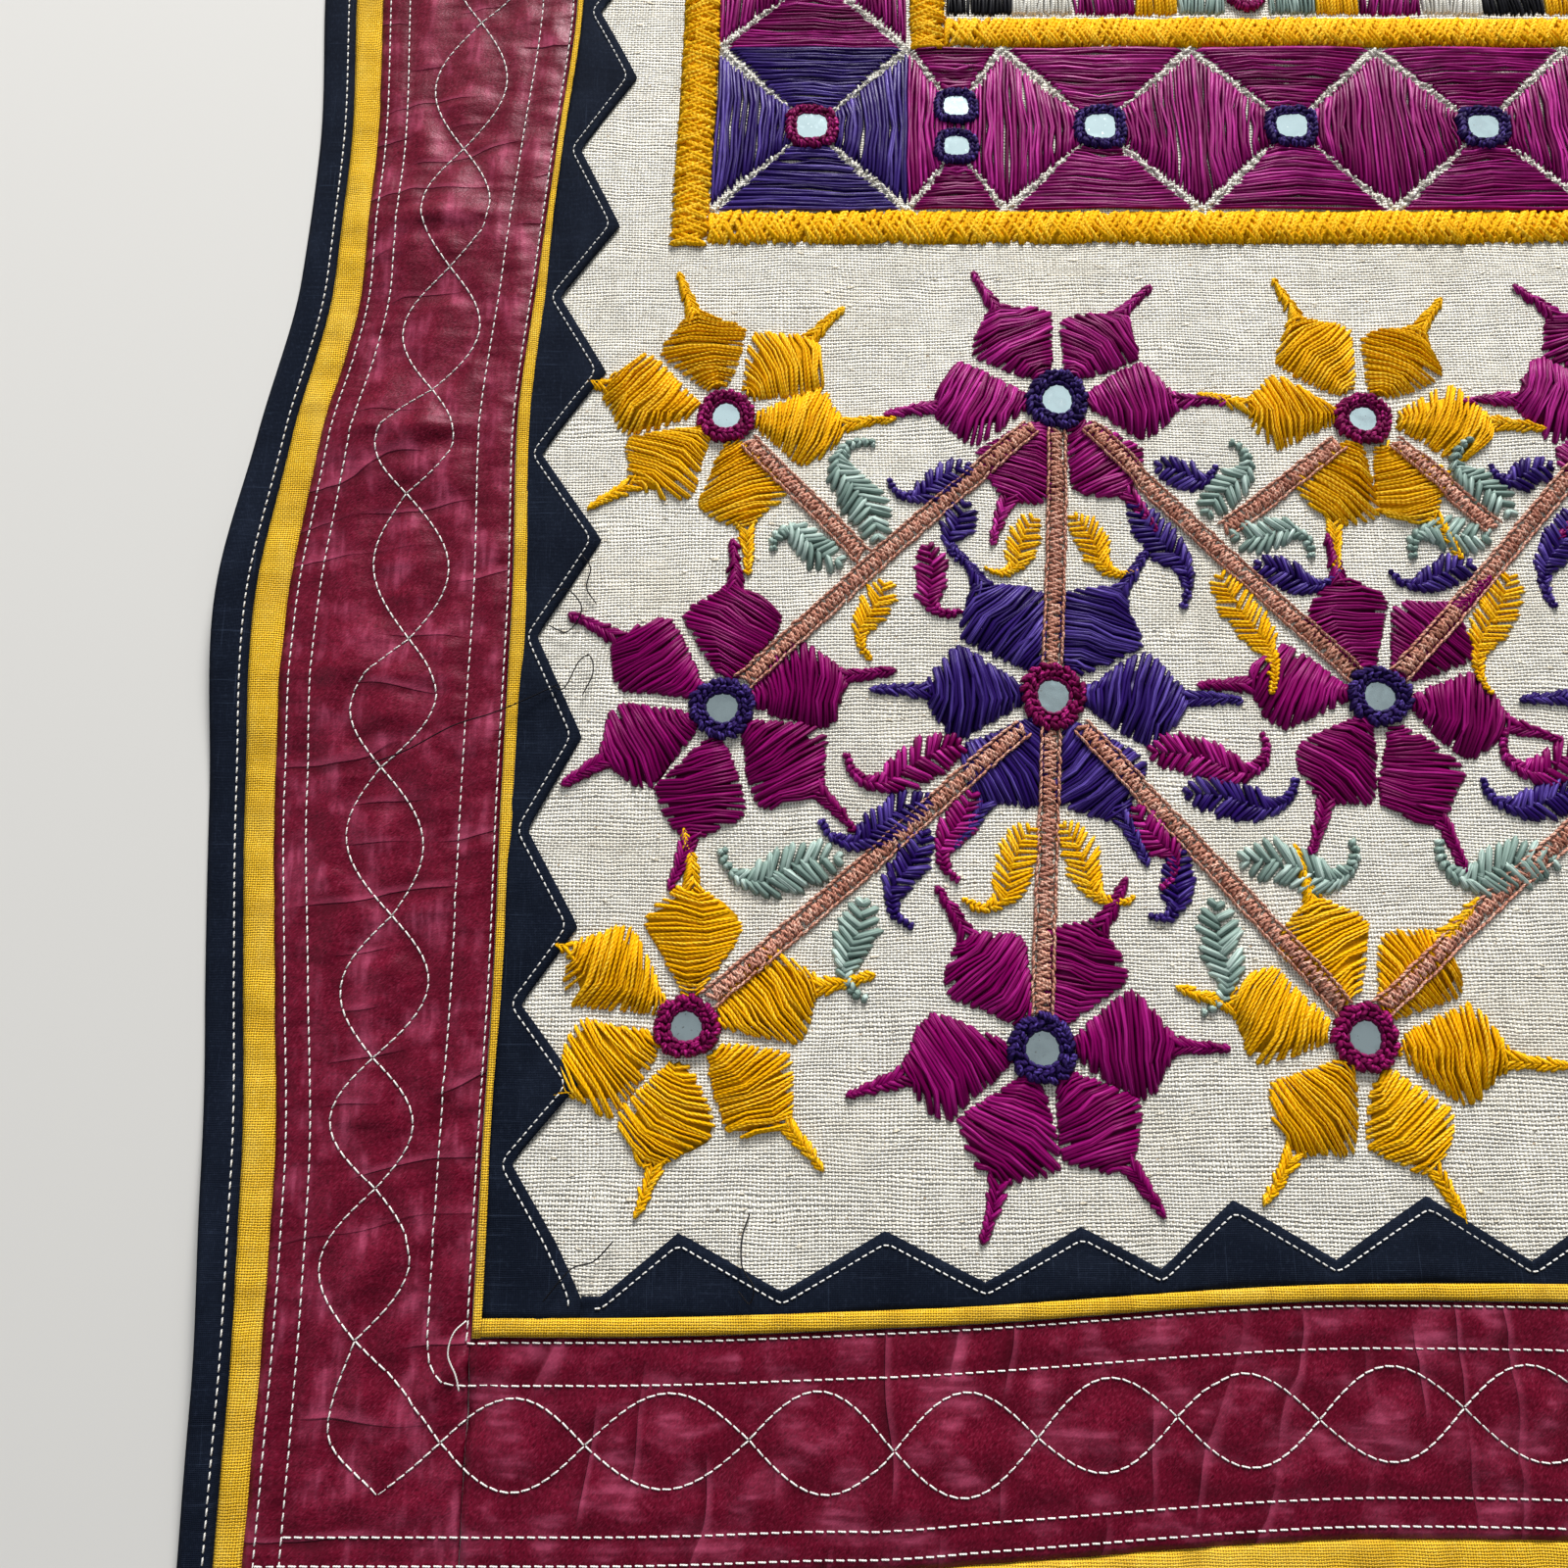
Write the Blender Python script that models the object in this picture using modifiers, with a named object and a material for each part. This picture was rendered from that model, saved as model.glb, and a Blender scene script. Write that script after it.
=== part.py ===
"""An embroidered cotton wall hanging with a quilted border, lying face up in low, uneven waves.

The frame is +Z up, +X to the right and +Y up the hanging, with the origin under its middle.
Sizes are in millimetres, and MM turns them into Blender's metres. Each side has its own
measures: along is a place along the side, and out is the distance from the hanging's middle.
The right side is the left one turned half round, and the top is the bottom turned half round.
"""

import math
from collections import namedtuple

import bmesh
import bpy
from mathutils import Vector
from mathutils.bvhtree import BVHTree

MM = 0.001
GAP = 0.35                  # between pieces that lie side by side
CURVE_GAP = 0.5             # the same, where the two follow a curve in unlike steps
LAP_GAP = 0.45              # between a strip and the cloth that it lies on

FIELD_THICK = 1.2
SAWTOOTH_THICK = 1.0
PIPING_THICK = 1.3
BAND_THICK = 1.5
BINDING_THICK = 1.9
QUILTED_THICK = 1.6         # along its stitched lines
PUFF_SHARE = 0.075          # a quilted puff's rise over its width
SPANS_UNDER = 3             # straight spans across a quilted strip's underside

FIELD_COLUMNS = 18
FIELD_ROWS = 32
NAVY_SHARE = 0.53           # of the width between the outer edge and the quilted strip
OUTER_LINE = 9.5            # the second stitched line, from the quilted strip's outer edge
INNER_LINE = 11.5           # the third stitched line, from its inner edge
TWIST_PITCH = 41.0
STEPS_IN_LENS = 3           # stations in each lens of the quilted twist
LEAST_STEP = 4.5            # between a strip's end and its nearest other station
LEAST_OPENING = 0.8         # half the space between the twist's lines where they cross
CORNER_OUT = 541.0          # the outer edge's distance at all four corners, up the hanging

TOOTH_PITCH = 53.0
TOOTH_REACH = 22.0
VALLEY_REACH = 6.0
CORNER_REACH = 26.0         # how far the side strips reach in at the field's corners

MIRROR_RADIUS = 6.5
MIRROR_THICK = 1.0
MIRROR_SIDES = 8
MIRROR_LIFT = 0.3

Edge = namedtuple("Edge", "along outer quilted inner")
Tooth = namedtuple("Tooth", "tip reach")
Fold = namedtuple("Fold", "x y turn half_length half_width rise")
Side = namedtuple("Side", "edges crossings teeth twist_in twist_reach piping low high place")
Flower = namedtuple("Flower", "x y")

LONG_EDGES = (
    Edge(-545, 327.0, 311.0, 256.5),
    Edge(-480, 327.0, 311.0, 256.5),
    Edge(-425, 331.0, 312.0, 256.5),
    Edge(-372, 336.5, 317.0, 256.0),
    Edge(-320, 341.0, 322.0, 256.5),
    Edge(-265, 344.5, 324.0, 256.5),
    Edge(-205, 338.5, 318.0, 258.0),
    Edge(-150, 330.0, 310.0, 254.0),
    Edge(-100, 328.5, 309.5, 250.0),
    Edge(-41, 332.0, 312.0, 245.5),
    Edge(40, 336.0, 315.0, 248.0),
    Edge(130, 331.0, 311.5, 252.0),
    Edge(220, 334.0, 314.5, 256.0),
    Edge(310, 340.0, 319.5, 258.0),
    Edge(400, 334.0, 314.5, 256.0),
    Edge(480, 330.0, 313.0, 256.5),
    Edge(545, 330.0, 313.0, 256.5),
)

SHORT_EDGES = (
    Edge(-345, 541.0, 521.0, 465.0),
    Edge(-225, 541.0, 521.0, 465.0),
    Edge(-140, 538.5, 518.5, 462.5),
    Edge(-20, 532.0, 512.0, 456.0),
    Edge(100, 535.0, 515.0, 458.5),
    Edge(225, 541.0, 521.0, 465.0),
    Edge(345, 541.0, 521.0, 465.0),
)

# The first crossings of the twist, from the photographed corner. The others keep the pitch.
LONG_CROSSINGS = (-507, -465.7, -428, -394, -355, -312, -273, -226, -191, -147, -102, -52)
SHORT_CROSSINGS = (-263, -226, -184, -147, -110, -74, -37.5)
SHORT_PITCH = 37.5
LONG_TWIST_END = 500
SHORT_TWIST_END = 270

LONG_TEETH = (
    Tooth(-442, 19),
    Tooth(-401, 23),
    Tooth(-358, 21),
    Tooth(-303, 20.5),
    Tooth(-241, 24.5),
    Tooth(-184, 24),
    Tooth(-131, 22),
    Tooth(-74, 21),
)

LAST_PLAIN_TIP = 401
CORNER_TOOTH = Tooth(442, 19)

SHORT_TEETH = (
    Tooth(-203, 21.5),
    Tooth(-148, 20),
    Tooth(-96, 18),
    Tooth(-55, 22),
)

FOLDS = (
    # across the side borders, where the quilting has drawn them in
    Fold(-297, -207, 8, 42, 30, 3.0),
    Fold(-300, -287, -4, 43, 28, 2.2),
    Fold(-290, -130, 6, 40, 30, 2.4),
    Fold(298, -330, 5, 42, 30, 2.6),
    Fold(300, -70, -6, 43, 28, 2.2),
    Fold(298, 207, 9, 42, 30, 3.0),
    Fold(-298, 120, -5, 42, 30, 2.5),
    Fold(-299, 345, 6, 42, 28, 2.2),
    # across the end borders
    Fold(-147, -502, 86, 40, 28, 2.2),
    Fold(130, -502, 95, 40, 30, 2.6),
    Fold(150, 502, 92, 40, 28, 2.4),
    Fold(-190, 502, 84, 40, 30, 2.2),
    # outer edges that stand a little off what the hanging lies on
    Fold(-348, -468, 90, 82, 44, 6.5),
    Fold(-358, -258, 92, 70, 40, 5.0),
    Fold(-350, 235, 88, 95, 42, 5.5),
    Fold(358, 262, 90, 70, 40, 5.0),
    Fold(350, -200, 91, 90, 42, 5.5),
    Fold(-40, -556, 0, 120, 42, 5.0),
    Fold(235, 558, 2, 90, 42, 4.5),
    # broad swells in the field
    Fold(-150, -250, 35, 190, 78, 2.4),
    Fold(130, -170, 30, 150, 76, 3.0),
    Fold(60, 215, 18, 210, 86, 3.0),
    Fold(-120, 350, 70, 120, 80, 2.2),
)

# The photographed flowers. Each is also mirrored across the middle where it isn't on it,
# and the same group is turned half round for the upper end.
FLOWERS = (
    Flower(-193, -199.5),
    Flower(-90, -194.5),
    Flower(5, -200.5),
    Flower(-193, -294.5),
    Flower(-96, -290.5),
    Flower(0, -290.5),
    Flower(-202, -385.5),
    Flower(-104, -391.5),
    Flower(-15, -388.5),
)
MIDDLE_COLUMN = 30          # flowers nearer the middle than this have no mirrored one


def smooth(rows, column, along):
    """A column's value on a smooth curve through a table's rows, level at its turning points."""
    along = min(max(along, rows[0].along), rows[-1].along)
    at = next(i for i in range(1, len(rows)) if along <= rows[i].along)

    def rise(i):
        change = getattr(rows[i], column) - getattr(rows[i - 1], column)
        return change / (rows[i].along - rows[i - 1].along)

    def slope(i):
        if i in (0, len(rows) - 1) or rise(i) * rise(i + 1) <= 0:
            return 0.0
        return 2 * rise(i) * rise(i + 1) / (rise(i) + rise(i + 1))

    first, last = rows[at - 1], rows[at]
    span = last.along - first.along
    t = (along - first.along) / span
    return (
        getattr(first, column) * (2 * t**3 - 3 * t**2 + 1)
        + slope(at - 1) * span * (t**3 - 2 * t**2 + t)
        + getattr(last, column) * (3 * t**2 - 2 * t**3)
        + slope(at) * span * (t**3 - t**2)
    )


def carried_on(measured, pitch, end):
    """Measured places, then more of them at an even pitch as far as end."""
    more = int((end - measured[-1]) / pitch)
    return tuple(measured) + tuple(measured[-1] + pitch * (i + 1) for i in range(more))


def teeth_to(measured, end):
    """Measured teeth, then plain ones, evenly spaced, with the last one at end."""
    start = measured[-1].tip
    more = round((end - start) / TOOTH_PITCH)
    tips = [start + (end - start) * (i + 1) / more for i in range(more)]
    return tuple(measured) + tuple(Tooth(tip, TOOTH_REACH) for tip in tips)


LONG = {
    "edges": LONG_EDGES,
    "crossings": carried_on(LONG_CROSSINGS, TWIST_PITCH, LONG_TWIST_END),
    "teeth": teeth_to(LONG_TEETH, LAST_PLAIN_TIP) + (CORNER_TOOTH,),
    "twist_in": 30.0,
    "twist_reach": 12.0,
    "piping": 2.3,
    "low": -CORNER_OUT,
    "high": CORNER_OUT,
}
SHORT = {
    "edges": SHORT_EDGES,
    "crossings": carried_on(SHORT_CROSSINGS, SHORT_PITCH, SHORT_TWIST_END),
    "teeth": teeth_to(SHORT_TEETH, -SHORT_TEETH[0].tip),
    "twist_in": 27.5,
    "twist_reach": 10.5,
    "piping": 4.2,
    "low": -LONG_EDGES[0].outer,
    "high": LONG_EDGES[-1].outer,
}
SIDES = {
    "left": Side(place=lambda along, out: (-out, along), **LONG),
    "right": Side(place=lambda along, out: (out, -along), **LONG),
    "bottom": Side(place=lambda along, out: (along, -out), **SHORT),
    "top": Side(place=lambda along, out: (-along, out), **SHORT),
}


def lie(x, y):
    """How high the hanging's underside is: flat on the surface, but for its folds."""
    height = 0.0
    for fold in FOLDS:
        turn = math.radians(fold.turn)
        along = ((x - fold.x) * math.cos(turn) + (y - fold.y) * math.sin(turn)) / fold.half_length
        across = ((y - fold.y) * math.cos(turn) - (x - fold.x) * math.sin(turn)) / fold.half_width
        if abs(along) < 1 and abs(across) < 1:
            wave = (1 + math.cos(math.pi * along)) * (1 + math.cos(math.pi * across))
            height += fold.rise * wave / 4
    return height


def out_of(side, line, along):
    """A line's distance from the middle: outer, band, quilted or inner, from the outside in."""
    if line != "band":
        return smooth(side.edges, line, along)
    outer = smooth(side.edges, "outer", along)
    return outer - NAVY_SHARE * (outer - smooth(side.edges, "quilted", along))


def point(side, along, out, above):
    """A point that is above the underside by a height, in metres."""
    x, y = side.place(along, out)
    return Vector((x, y, lie(x, y) + above)) * MM


def stations(side, low, high):
    """Places along a strip: its two ends, the twist's crossings and steps between them."""
    marks = list(side.crossings)
    while marks[0] > side.low:
        marks.insert(0, marks[0] - SHORT_PITCH)
    while marks[-1] < side.high:
        marks.append(marks[-1] + SHORT_PITCH)
    steps = [
        start + (end - start) * i / STEPS_IN_LENS
        for start, end in zip(marks, marks[1:])
        for i in range(STEPS_IN_LENS)
    ]
    inside = [at for at in steps if low + LEAST_STEP < at < high - LEAST_STEP]
    return [low] + inside + [high]


def opening(side, along):
    """Half the space between the twist's two lines at a place along the strip."""
    for start, end in zip(side.crossings, side.crossings[1:]):
        if start <= along <= end:
            wave = math.sin(math.pi * (along - start) / (end - start))
            return max(side.twist_reach * wave, LEAST_OPENING)
    return LEAST_OPENING


def new_collection(name):
    collection = bpy.data.collections.new(name)
    bpy.context.scene.collection.children.link(collection)
    return collection


def material(name, color, roughness, metallic=0.0):
    made = bpy.data.materials.new(name)
    made.use_nodes = True
    shader = made.node_tree.nodes["Principled BSDF"]
    shader.inputs["Base Color"].default_value = (*color, 1.0)
    shader.inputs["Roughness"].default_value = roughness
    shader.inputs["Metallic"].default_value = metallic
    return made


def add_object(name, bm, finish, collection):
    mesh = bpy.data.meshes.new(name)
    bm.to_mesh(mesh)
    bm.free()
    mesh.materials.append(finish)
    made = bpy.data.objects.new(name, mesh)
    collection.objects.link(made)
    return made


def loft(name, rings, finish, collection):
    """A closed solid through rings of points, with a face at each end."""
    bm = bmesh.new()
    loops = [[bm.verts.new(co) for co in ring] for ring in rings]
    for ring, after in zip(loops, loops[1:]):
        for i, vertex in enumerate(ring):
            before = i - 1
            bm.faces.new((vertex, after[i], after[before], ring[before]))
    bm.faces.new(loops[0])
    bm.faces.new(loops[-1][::-1])
    bmesh.ops.recalc_face_normals(bm, faces=bm.faces)
    return add_object(name, bm, finish, collection)


def flat_strip(name, side, places, outer, inner, above, thick, finish, collection):
    """A plain strip. outer and inner give its edges' distances at a place along the side."""
    rings = [
        [
            point(side, along, outer(along), above),
            point(side, along, inner(along), above),
            point(side, along, inner(along), above + thick),
            point(side, along, outer(along), above + thick),
        ]
        for along in places
    ]
    return loft(name, rings, finish, collection)


def quilted_ring(side, along):
    """One cross-section of a quilted strip: low at its stitched lines, with puffs between."""
    outer = out_of(side, "quilted", along) - GAP / 2
    inner = out_of(side, "inner", along) + GAP / 2
    twist = inner + side.twist_in
    half = opening(side, along)
    first_line = outer - OUTER_LINE
    puff_at = (first_line + twist + half) / 2
    side_puff = PUFF_SHARE * (first_line - twist - half)
    profile = (
        (outer, 0.0),
        (first_line, 0.0),
        (puff_at, side_puff),
        (twist + half, 0.0),
        (twist, PUFF_SHARE * 2 * half),
        (twist - half, 0.0),
        (inner + INNER_LINE, 0.0),
        (inner, 0.0),
    )
    under = [outer + (inner - outer) * i / SPANS_UNDER for i in range(SPANS_UNDER + 1)]
    floor = [point(side, along, out, 0.0) for out in under]

    def on_top(out, rise):
        spans = min(max((outer - out) / (outer - inner), 0.0), 1.0) * SPANS_UNDER
        first = min(int(spans), SPANS_UNDER - 1)
        low = floor[first].lerp(floor[first + 1], spans - first)
        return low + Vector((0, 0, (QUILTED_THICK + rise) * MM))

    return [on_top(out, rise) for out, rise in profile] + floor[::-1]


def make_quilted(finish, collection):
    """The side strips run from end to end, and the others butt between them."""
    for name, side in SIDES.items():
        if name in ("left", "right"):
            reach = SHORT_EDGES[0].quilted - GAP / 2
        else:
            reach = LONG_EDGES[0].inner - GAP / 2
        rings = [quilted_ring(side, along) for along in stations(side, -reach, reach)]
        loft(f"quilted_{name}", rings, finish, collection)


def make_edge_strips(kind, lines, thick, finish, collection):
    """The yellow bands or the navy bindings, each between two of the border's lines."""
    outer_line, inner_line = lines
    for name, side in SIDES.items():
        if name in ("left", "right"):
            low = high = out_of(SIDES["bottom"], outer_line, -CORNER_OUT)
        else:
            low = out_of(SIDES["left"], inner_line, -CORNER_OUT) - GAP
            high = out_of(SIDES["right"], inner_line, CORNER_OUT) - GAP
        if outer_line == "band":
            low, high = low - GAP / 2, high - GAP / 2

        def outer(along, side=side):
            return out_of(side, outer_line, along) - (GAP / 2 if outer_line == "band" else 0)

        def inner(along, side=side):
            return out_of(side, inner_line, along) + GAP / 2

        places = stations(side, -low, high)
        flat_strip(f"{kind}_{name}", side, places, outer, inner, 0.0, thick, finish, collection)


def piping_edge(side, along):
    """The piping's inner edge, where the sawtooth strip begins."""
    return out_of(side, "inner", along) - side.piping


def make_piping(finish, collection):
    above = FIELD_THICK + LAP_GAP
    for name, side in SIDES.items():
        if name in ("left", "right"):
            reach = SHORT_EDGES[0].inner - GAP / 2
        else:
            reach = LONG_EDGES[0].inner - SIDES["left"].piping - GAP

        def outer(along, side=side):
            return out_of(side, "inner", along) - CURVE_GAP + GAP / 2

        def inner(along, side=side):
            return piping_edge(side, along)

        places = stations(side, -reach, reach)
        places = places[:-1:2] + places[-1:]
        flat_strip(
            f"piping_{name}", side, places, outer, inner, above, PIPING_THICK, finish, collection
        )


def tooth_outline(side, reach, end_reach):
    """The cut edge's corners, tip and valley by turns, as (along, reach from the piping)."""
    corners = [(-reach, end_reach)]
    for tooth, after in zip(side.teeth, side.teeth[1:] + (None,)):
        corners.append((tooth.tip, tooth.reach))
        if after:
            corners.append(((tooth.tip + after.tip) / 2, VALLEY_REACH))
    return corners + [(reach, end_reach)]


def make_sawtooth(finish, collection):
    """Navy strips over the field's edge. The side ones run from end to end of the field."""
    above = FIELD_THICK + LAP_GAP
    for name, side in SIDES.items():
        if name in ("left", "right"):
            reach = piping_edge(SIDES["bottom"], -CORNER_OUT) - GAP
            end_reach = CORNER_REACH
        else:
            reach = piping_edge(SIDES["left"], -CORNER_OUT) - CORNER_REACH - GAP
            end_reach = VALLEY_REACH
        rings = []
        for along, deep in tooth_outline(side, reach, end_reach):
            outer = piping_edge(side, along) - CURVE_GAP
            inner = piping_edge(side, along) - deep
            rings.append([
                point(side, along, outer, above),
                point(side, along, inner, above),
                point(side, along, inner, above + SAWTOOTH_THICK),
                point(side, along, outer, above + SAWTOOTH_THICK),
            ])
        loft(f"sawtooth_{name}", rings, finish, collection)


def in_field(u, v):
    """The place of a share of the field's width and length, inside its uneven edges."""
    x, y = 0.0, (2 * v - 1) * SHORT_EDGES[0].inner
    room = CURVE_GAP - GAP / 2
    for _ in range(3):
        left = room - out_of(SIDES["left"], "inner", y)
        right = out_of(SIDES["right"], "inner", -y) - room
        x = left + (right - left) * u
        low = room - out_of(SIDES["bottom"], "inner", x)
        high = out_of(SIDES["top"], "inner", -x) - room
        y = low + (high - low) * v
    return x, y


def make_field(finish, collection):
    """The embroidered panel, a thin sheet that runs under the strips to the border's seam."""
    bm = bmesh.new()
    bmesh.ops.create_grid(bm, x_segments=FIELD_COLUMNS, y_segments=FIELD_ROWS, size=0.5)
    for vertex in bm.verts:
        x, y = in_field(vertex.co.x + 0.5, vertex.co.y + 0.5)
        vertex.co = Vector((x, y, lie(x, y))) * MM
    field = add_object("field_cloth", bm, finish, collection)
    body = field.modifiers.new("cloth", "SOLIDIFY")
    body.thickness = FIELD_THICK * MM
    body.offset = 1.0
    return field


def flower_places():
    """The hearts of all flowers: both halves of the lower end, then the upper end."""
    lower = list(FLOWERS)
    lower += [Flower(-at.x, at.y) for at in FLOWERS if abs(at.x) > MIDDLE_COLUMN]
    return lower + [Flower(-at.x, -at.y) for at in lower]


def make_mirrors(field, finish, collection):
    """Small round mirrors, each lying on the field with the tilt that the cloth has there."""
    bpy.context.view_layer.update()
    cloth = BVHTree.FromObject(field, bpy.context.evaluated_depsgraph_get())
    for number, flower in enumerate(flower_places()):
        heart = Vector((flower.x, flower.y, 0)) * MM

        def surface(step):
            above = heart + step + Vector((0, 0, 0.1))
            return cloth.ray_cast(above, Vector((0, 0, -1)))[0]

        across = Vector((MIRROR_RADIUS * MM, 0, 0))
        up = Vector((0, MIRROR_RADIUS * MM, 0))
        tilt = (surface(across) - surface(-across)).cross(surface(up) - surface(-up))
        tilt.normalize()
        middle = surface(Vector())
        rim = [
            Vector((math.cos(turn), math.sin(turn), 0)) * MIRROR_RADIUS * MM
            for turn in (math.tau * i / MIRROR_SIDES for i in range(MIRROR_SIDES))
        ]
        bulge = max(0.0, max((surface(step) - middle).dot(tilt) for step in rim))
        lift = bulge + (MIRROR_LIFT + MIRROR_THICK / 2) * MM

        bm = bmesh.new()
        bmesh.ops.create_cone(
            bm,
            cap_ends=True,
            segments=MIRROR_SIDES,
            radius1=MIRROR_RADIUS * MM,
            radius2=MIRROR_RADIUS * MM,
            depth=MIRROR_THICK * MM,
        )
        mirror = add_object(f"mirror_{number:02d}", bm, finish, collection)
        mirror.location = middle + tilt * lift
        mirror.rotation_mode = "QUATERNION"
        mirror.rotation_quaternion = Vector((0, 0, 1)).rotation_difference(tilt)


def main():
    for old in list(bpy.data.objects):
        bpy.data.objects.remove(old)
    hanging = new_collection("embroidered_wall_hanging")
    natural = material("undyed_cotton", (0.74, 0.69, 0.60), 0.9)
    maroon = material("maroon_satin", (0.19, 0.02, 0.04), 0.5)
    yellow = material("yellow_cotton", (0.75, 0.38, 0.03), 0.85)
    navy = material("navy_cotton", (0.015, 0.02, 0.04), 0.85)
    glass = material("mirror_glass", (0.8, 0.85, 0.87), 0.08, 1.0)

    field = make_field(natural, hanging)
    make_quilted(maroon, hanging)
    make_edge_strips("band", ("band", "quilted"), BAND_THICK, yellow, hanging)
    make_edge_strips("binding", ("outer", "band"), BINDING_THICK, navy, hanging)
    make_piping(yellow, hanging)
    make_sawtooth(navy, hanging)
    make_mirrors(field, glass, hanging)


main()
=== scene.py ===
"""The looks of an embroidered cotton wall hanging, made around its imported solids.

The frame is +Z up, +X to the right and +Y up the hanging, with the origin under its middle.
Sizes are in millimetres, and MM turns them into Blender's metres. Bump depths, lamps and the
camera are in metres. The tables of edges, teeth, folds and flowers are those of the solids, so
every cloth and thread lies where its solid is. Each side has its own measures: along is a place
along the side, and out is the distance from the hanging's middle. The right side is the left one
turned half round, and the top is the bottom turned half round.
"""

import math
from collections import namedtuple

import bmesh
import bpy
import numpy as np
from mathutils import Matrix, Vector
from mathutils.kdtree import KDTree


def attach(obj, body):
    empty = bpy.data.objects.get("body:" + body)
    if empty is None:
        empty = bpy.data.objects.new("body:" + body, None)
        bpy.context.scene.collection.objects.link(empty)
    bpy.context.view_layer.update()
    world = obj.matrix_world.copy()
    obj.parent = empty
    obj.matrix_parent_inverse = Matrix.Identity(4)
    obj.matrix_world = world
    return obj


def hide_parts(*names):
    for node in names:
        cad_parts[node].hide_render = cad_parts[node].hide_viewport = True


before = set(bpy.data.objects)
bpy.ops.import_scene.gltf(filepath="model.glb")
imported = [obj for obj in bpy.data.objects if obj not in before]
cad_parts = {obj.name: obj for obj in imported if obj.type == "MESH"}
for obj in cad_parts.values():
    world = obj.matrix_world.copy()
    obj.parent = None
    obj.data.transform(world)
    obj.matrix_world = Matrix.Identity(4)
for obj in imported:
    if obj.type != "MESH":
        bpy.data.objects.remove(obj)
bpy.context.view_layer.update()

MM = 0.001
GAP = 0.35                  # between two cloths at a seam
TUCK = 0.3                  # how far a cloth's edge goes under the next one
CORNER_OUT = 541.0
CORNER_REACH = 26.0         # how wide the long toothed strips are at their ends
VALLEY_REACH = 6.0
TOOTH_PITCH = 53.0
TOOTH_REACH = 22.0
TOOTH_END = 5.0             # the even stretch at each end of a toothed strip
NAVY_SHARE = 0.53           # of the width between the outer edge and the quilted strip

# How high each cloth's upper face is. The toothed strips and the piping lie on the panel.
FIELD_THICK = 1.2
QUILTED_THICK = 1.6
BAND_THICK = 1.5
BINDING_THICK = 1.9
TOOTHED_THICK = 1.32
PIPING_THICK = 1.75

OUTER_LINES = (3.0, 9.5)    # stitched lines of the border, from the quilted strip's outer edge
INNER_LINES = (11.5, 1.2)   # and from its inner edge
TWIST_REACH = 11.6          # half the widest space between the twist's two lines
TWIST_LAST = 470.0          # the twist turns the corner past this place on a long side
LINE_CORNER = 11.0          # how far from the corner the third line starts to bend
LINE_END = 2.0              # how far from the corner a long side's outer lines end
PUFF_RISE = 2.0
PUFF_LENGTH = 7.5           # the distance from a stitched line over which a puff rises
STITCH_PITCH = 2.8
BINDING_STITCH = 1.9        # how far outside the yellow band the binding is stitched
BINDING_STITCH_END = 9.0    # and how far from a long side's corner the stitches end
TOOTH_STITCH = 3.1          # how far inside their edge the teeth are stitched
TOOTH_DIP = 3.2             # and where the stitches draw them down
TOOTH_STITCH_RISE = 1.0
TOOTH_STITCH_PITCH = 2.15
TOOTH_STITCH_EVEN = 6       # over how many places to each side a line's corners are rounded

MOST_BENT_PLACES = 100      # a stitched line with more places than this is a straight one

WARP_PITCH = 0.95           # the panel's yarns
WEFT_PITCH = 1.04
SATIN_PITCH = 1.2           # the blocks' stitches
SATIN_HALF = 0.82
SATIN_THICK = 1.5           # how high the petals' stitches are for a leaf or stem over them
SATIN_DIP = -0.35           # how high a satin stitch's ends are, in the cloth
POINT_PITCH = 1.25
BRAID_PITCH = 1.95
STEM_PITCH = 1.9
STEM_HALF = 2.7

# The points of each kind of stitch from end to end: a share of its length or its half length, and
# mostly how high it is there. A stem's have how far on along the stem, how far aside and how high.
# A knot's have shares of its swing round the ring and of its reach across it.
PETAL_STATIONS = (0.0, 0.05, 0.36, 0.64, 0.95, 1.0)
SATIN_STATIONS = (0.0, 0.06, 0.27, 0.5, 0.73, 0.94, 1.0)
FISHBONE_STATIONS = ((0.0, -0.3), (0.18, 0.5), (0.72, 0.9), (1.0, 0.3))
BRAID_STATIONS = ((0.0, -0.3), (0.12, 0.35), (0.5, 0.7), (0.88, 1.05), (1.0, -0.1))
RIDGE_STATIONS = ((-1, -0.1), (-0.5, 0.5), (0.5, 0.5), (1, -0.1))
KNOT_STATIONS = ((-1, -1.1), (-0.6, -0.6), (0.6, 0.6), (1, 1.25))
RIM_STATIONS = ((-0.85, -0.25), (-0.3, 0.0), (0.3, 0.0), (0.85, -0.25))
STEM_EDGE_STATIONS = ((0.0, -0.9, 0.0), (0.7, -0.2, 0.72), (2.3, 0.3, 0.8), (3.2, 0.6, 0.1))
STEM_CROSS_STATIONS = ((0.0, -1, 0.0), (0.6, -0.55, 0.55), (1.9, 0.55, 0.75), (2.5, 1, 0.1))

# The first seed of each kind of piece, so that its threads fall the same way in every run.
PETAL_SHAPE_SEED = 61
BORDER_SEED = 100
BINDING_SEED = 300
TEETH_SEED = 320
BLOCK_SEED = 500
OUTER_BRAID_SEED = 700
INNER_BRAID_SEED = 720
UPRIGHT_SEED = 740
DIAMOND_SEED = 800
MIRROR_SEED = 900
PETAL_SEED = 1000
POINT_SEED = 1500
LEAF_SEED = 2000
STEM_SEED = 2500
RING_SEED = 3000

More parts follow.
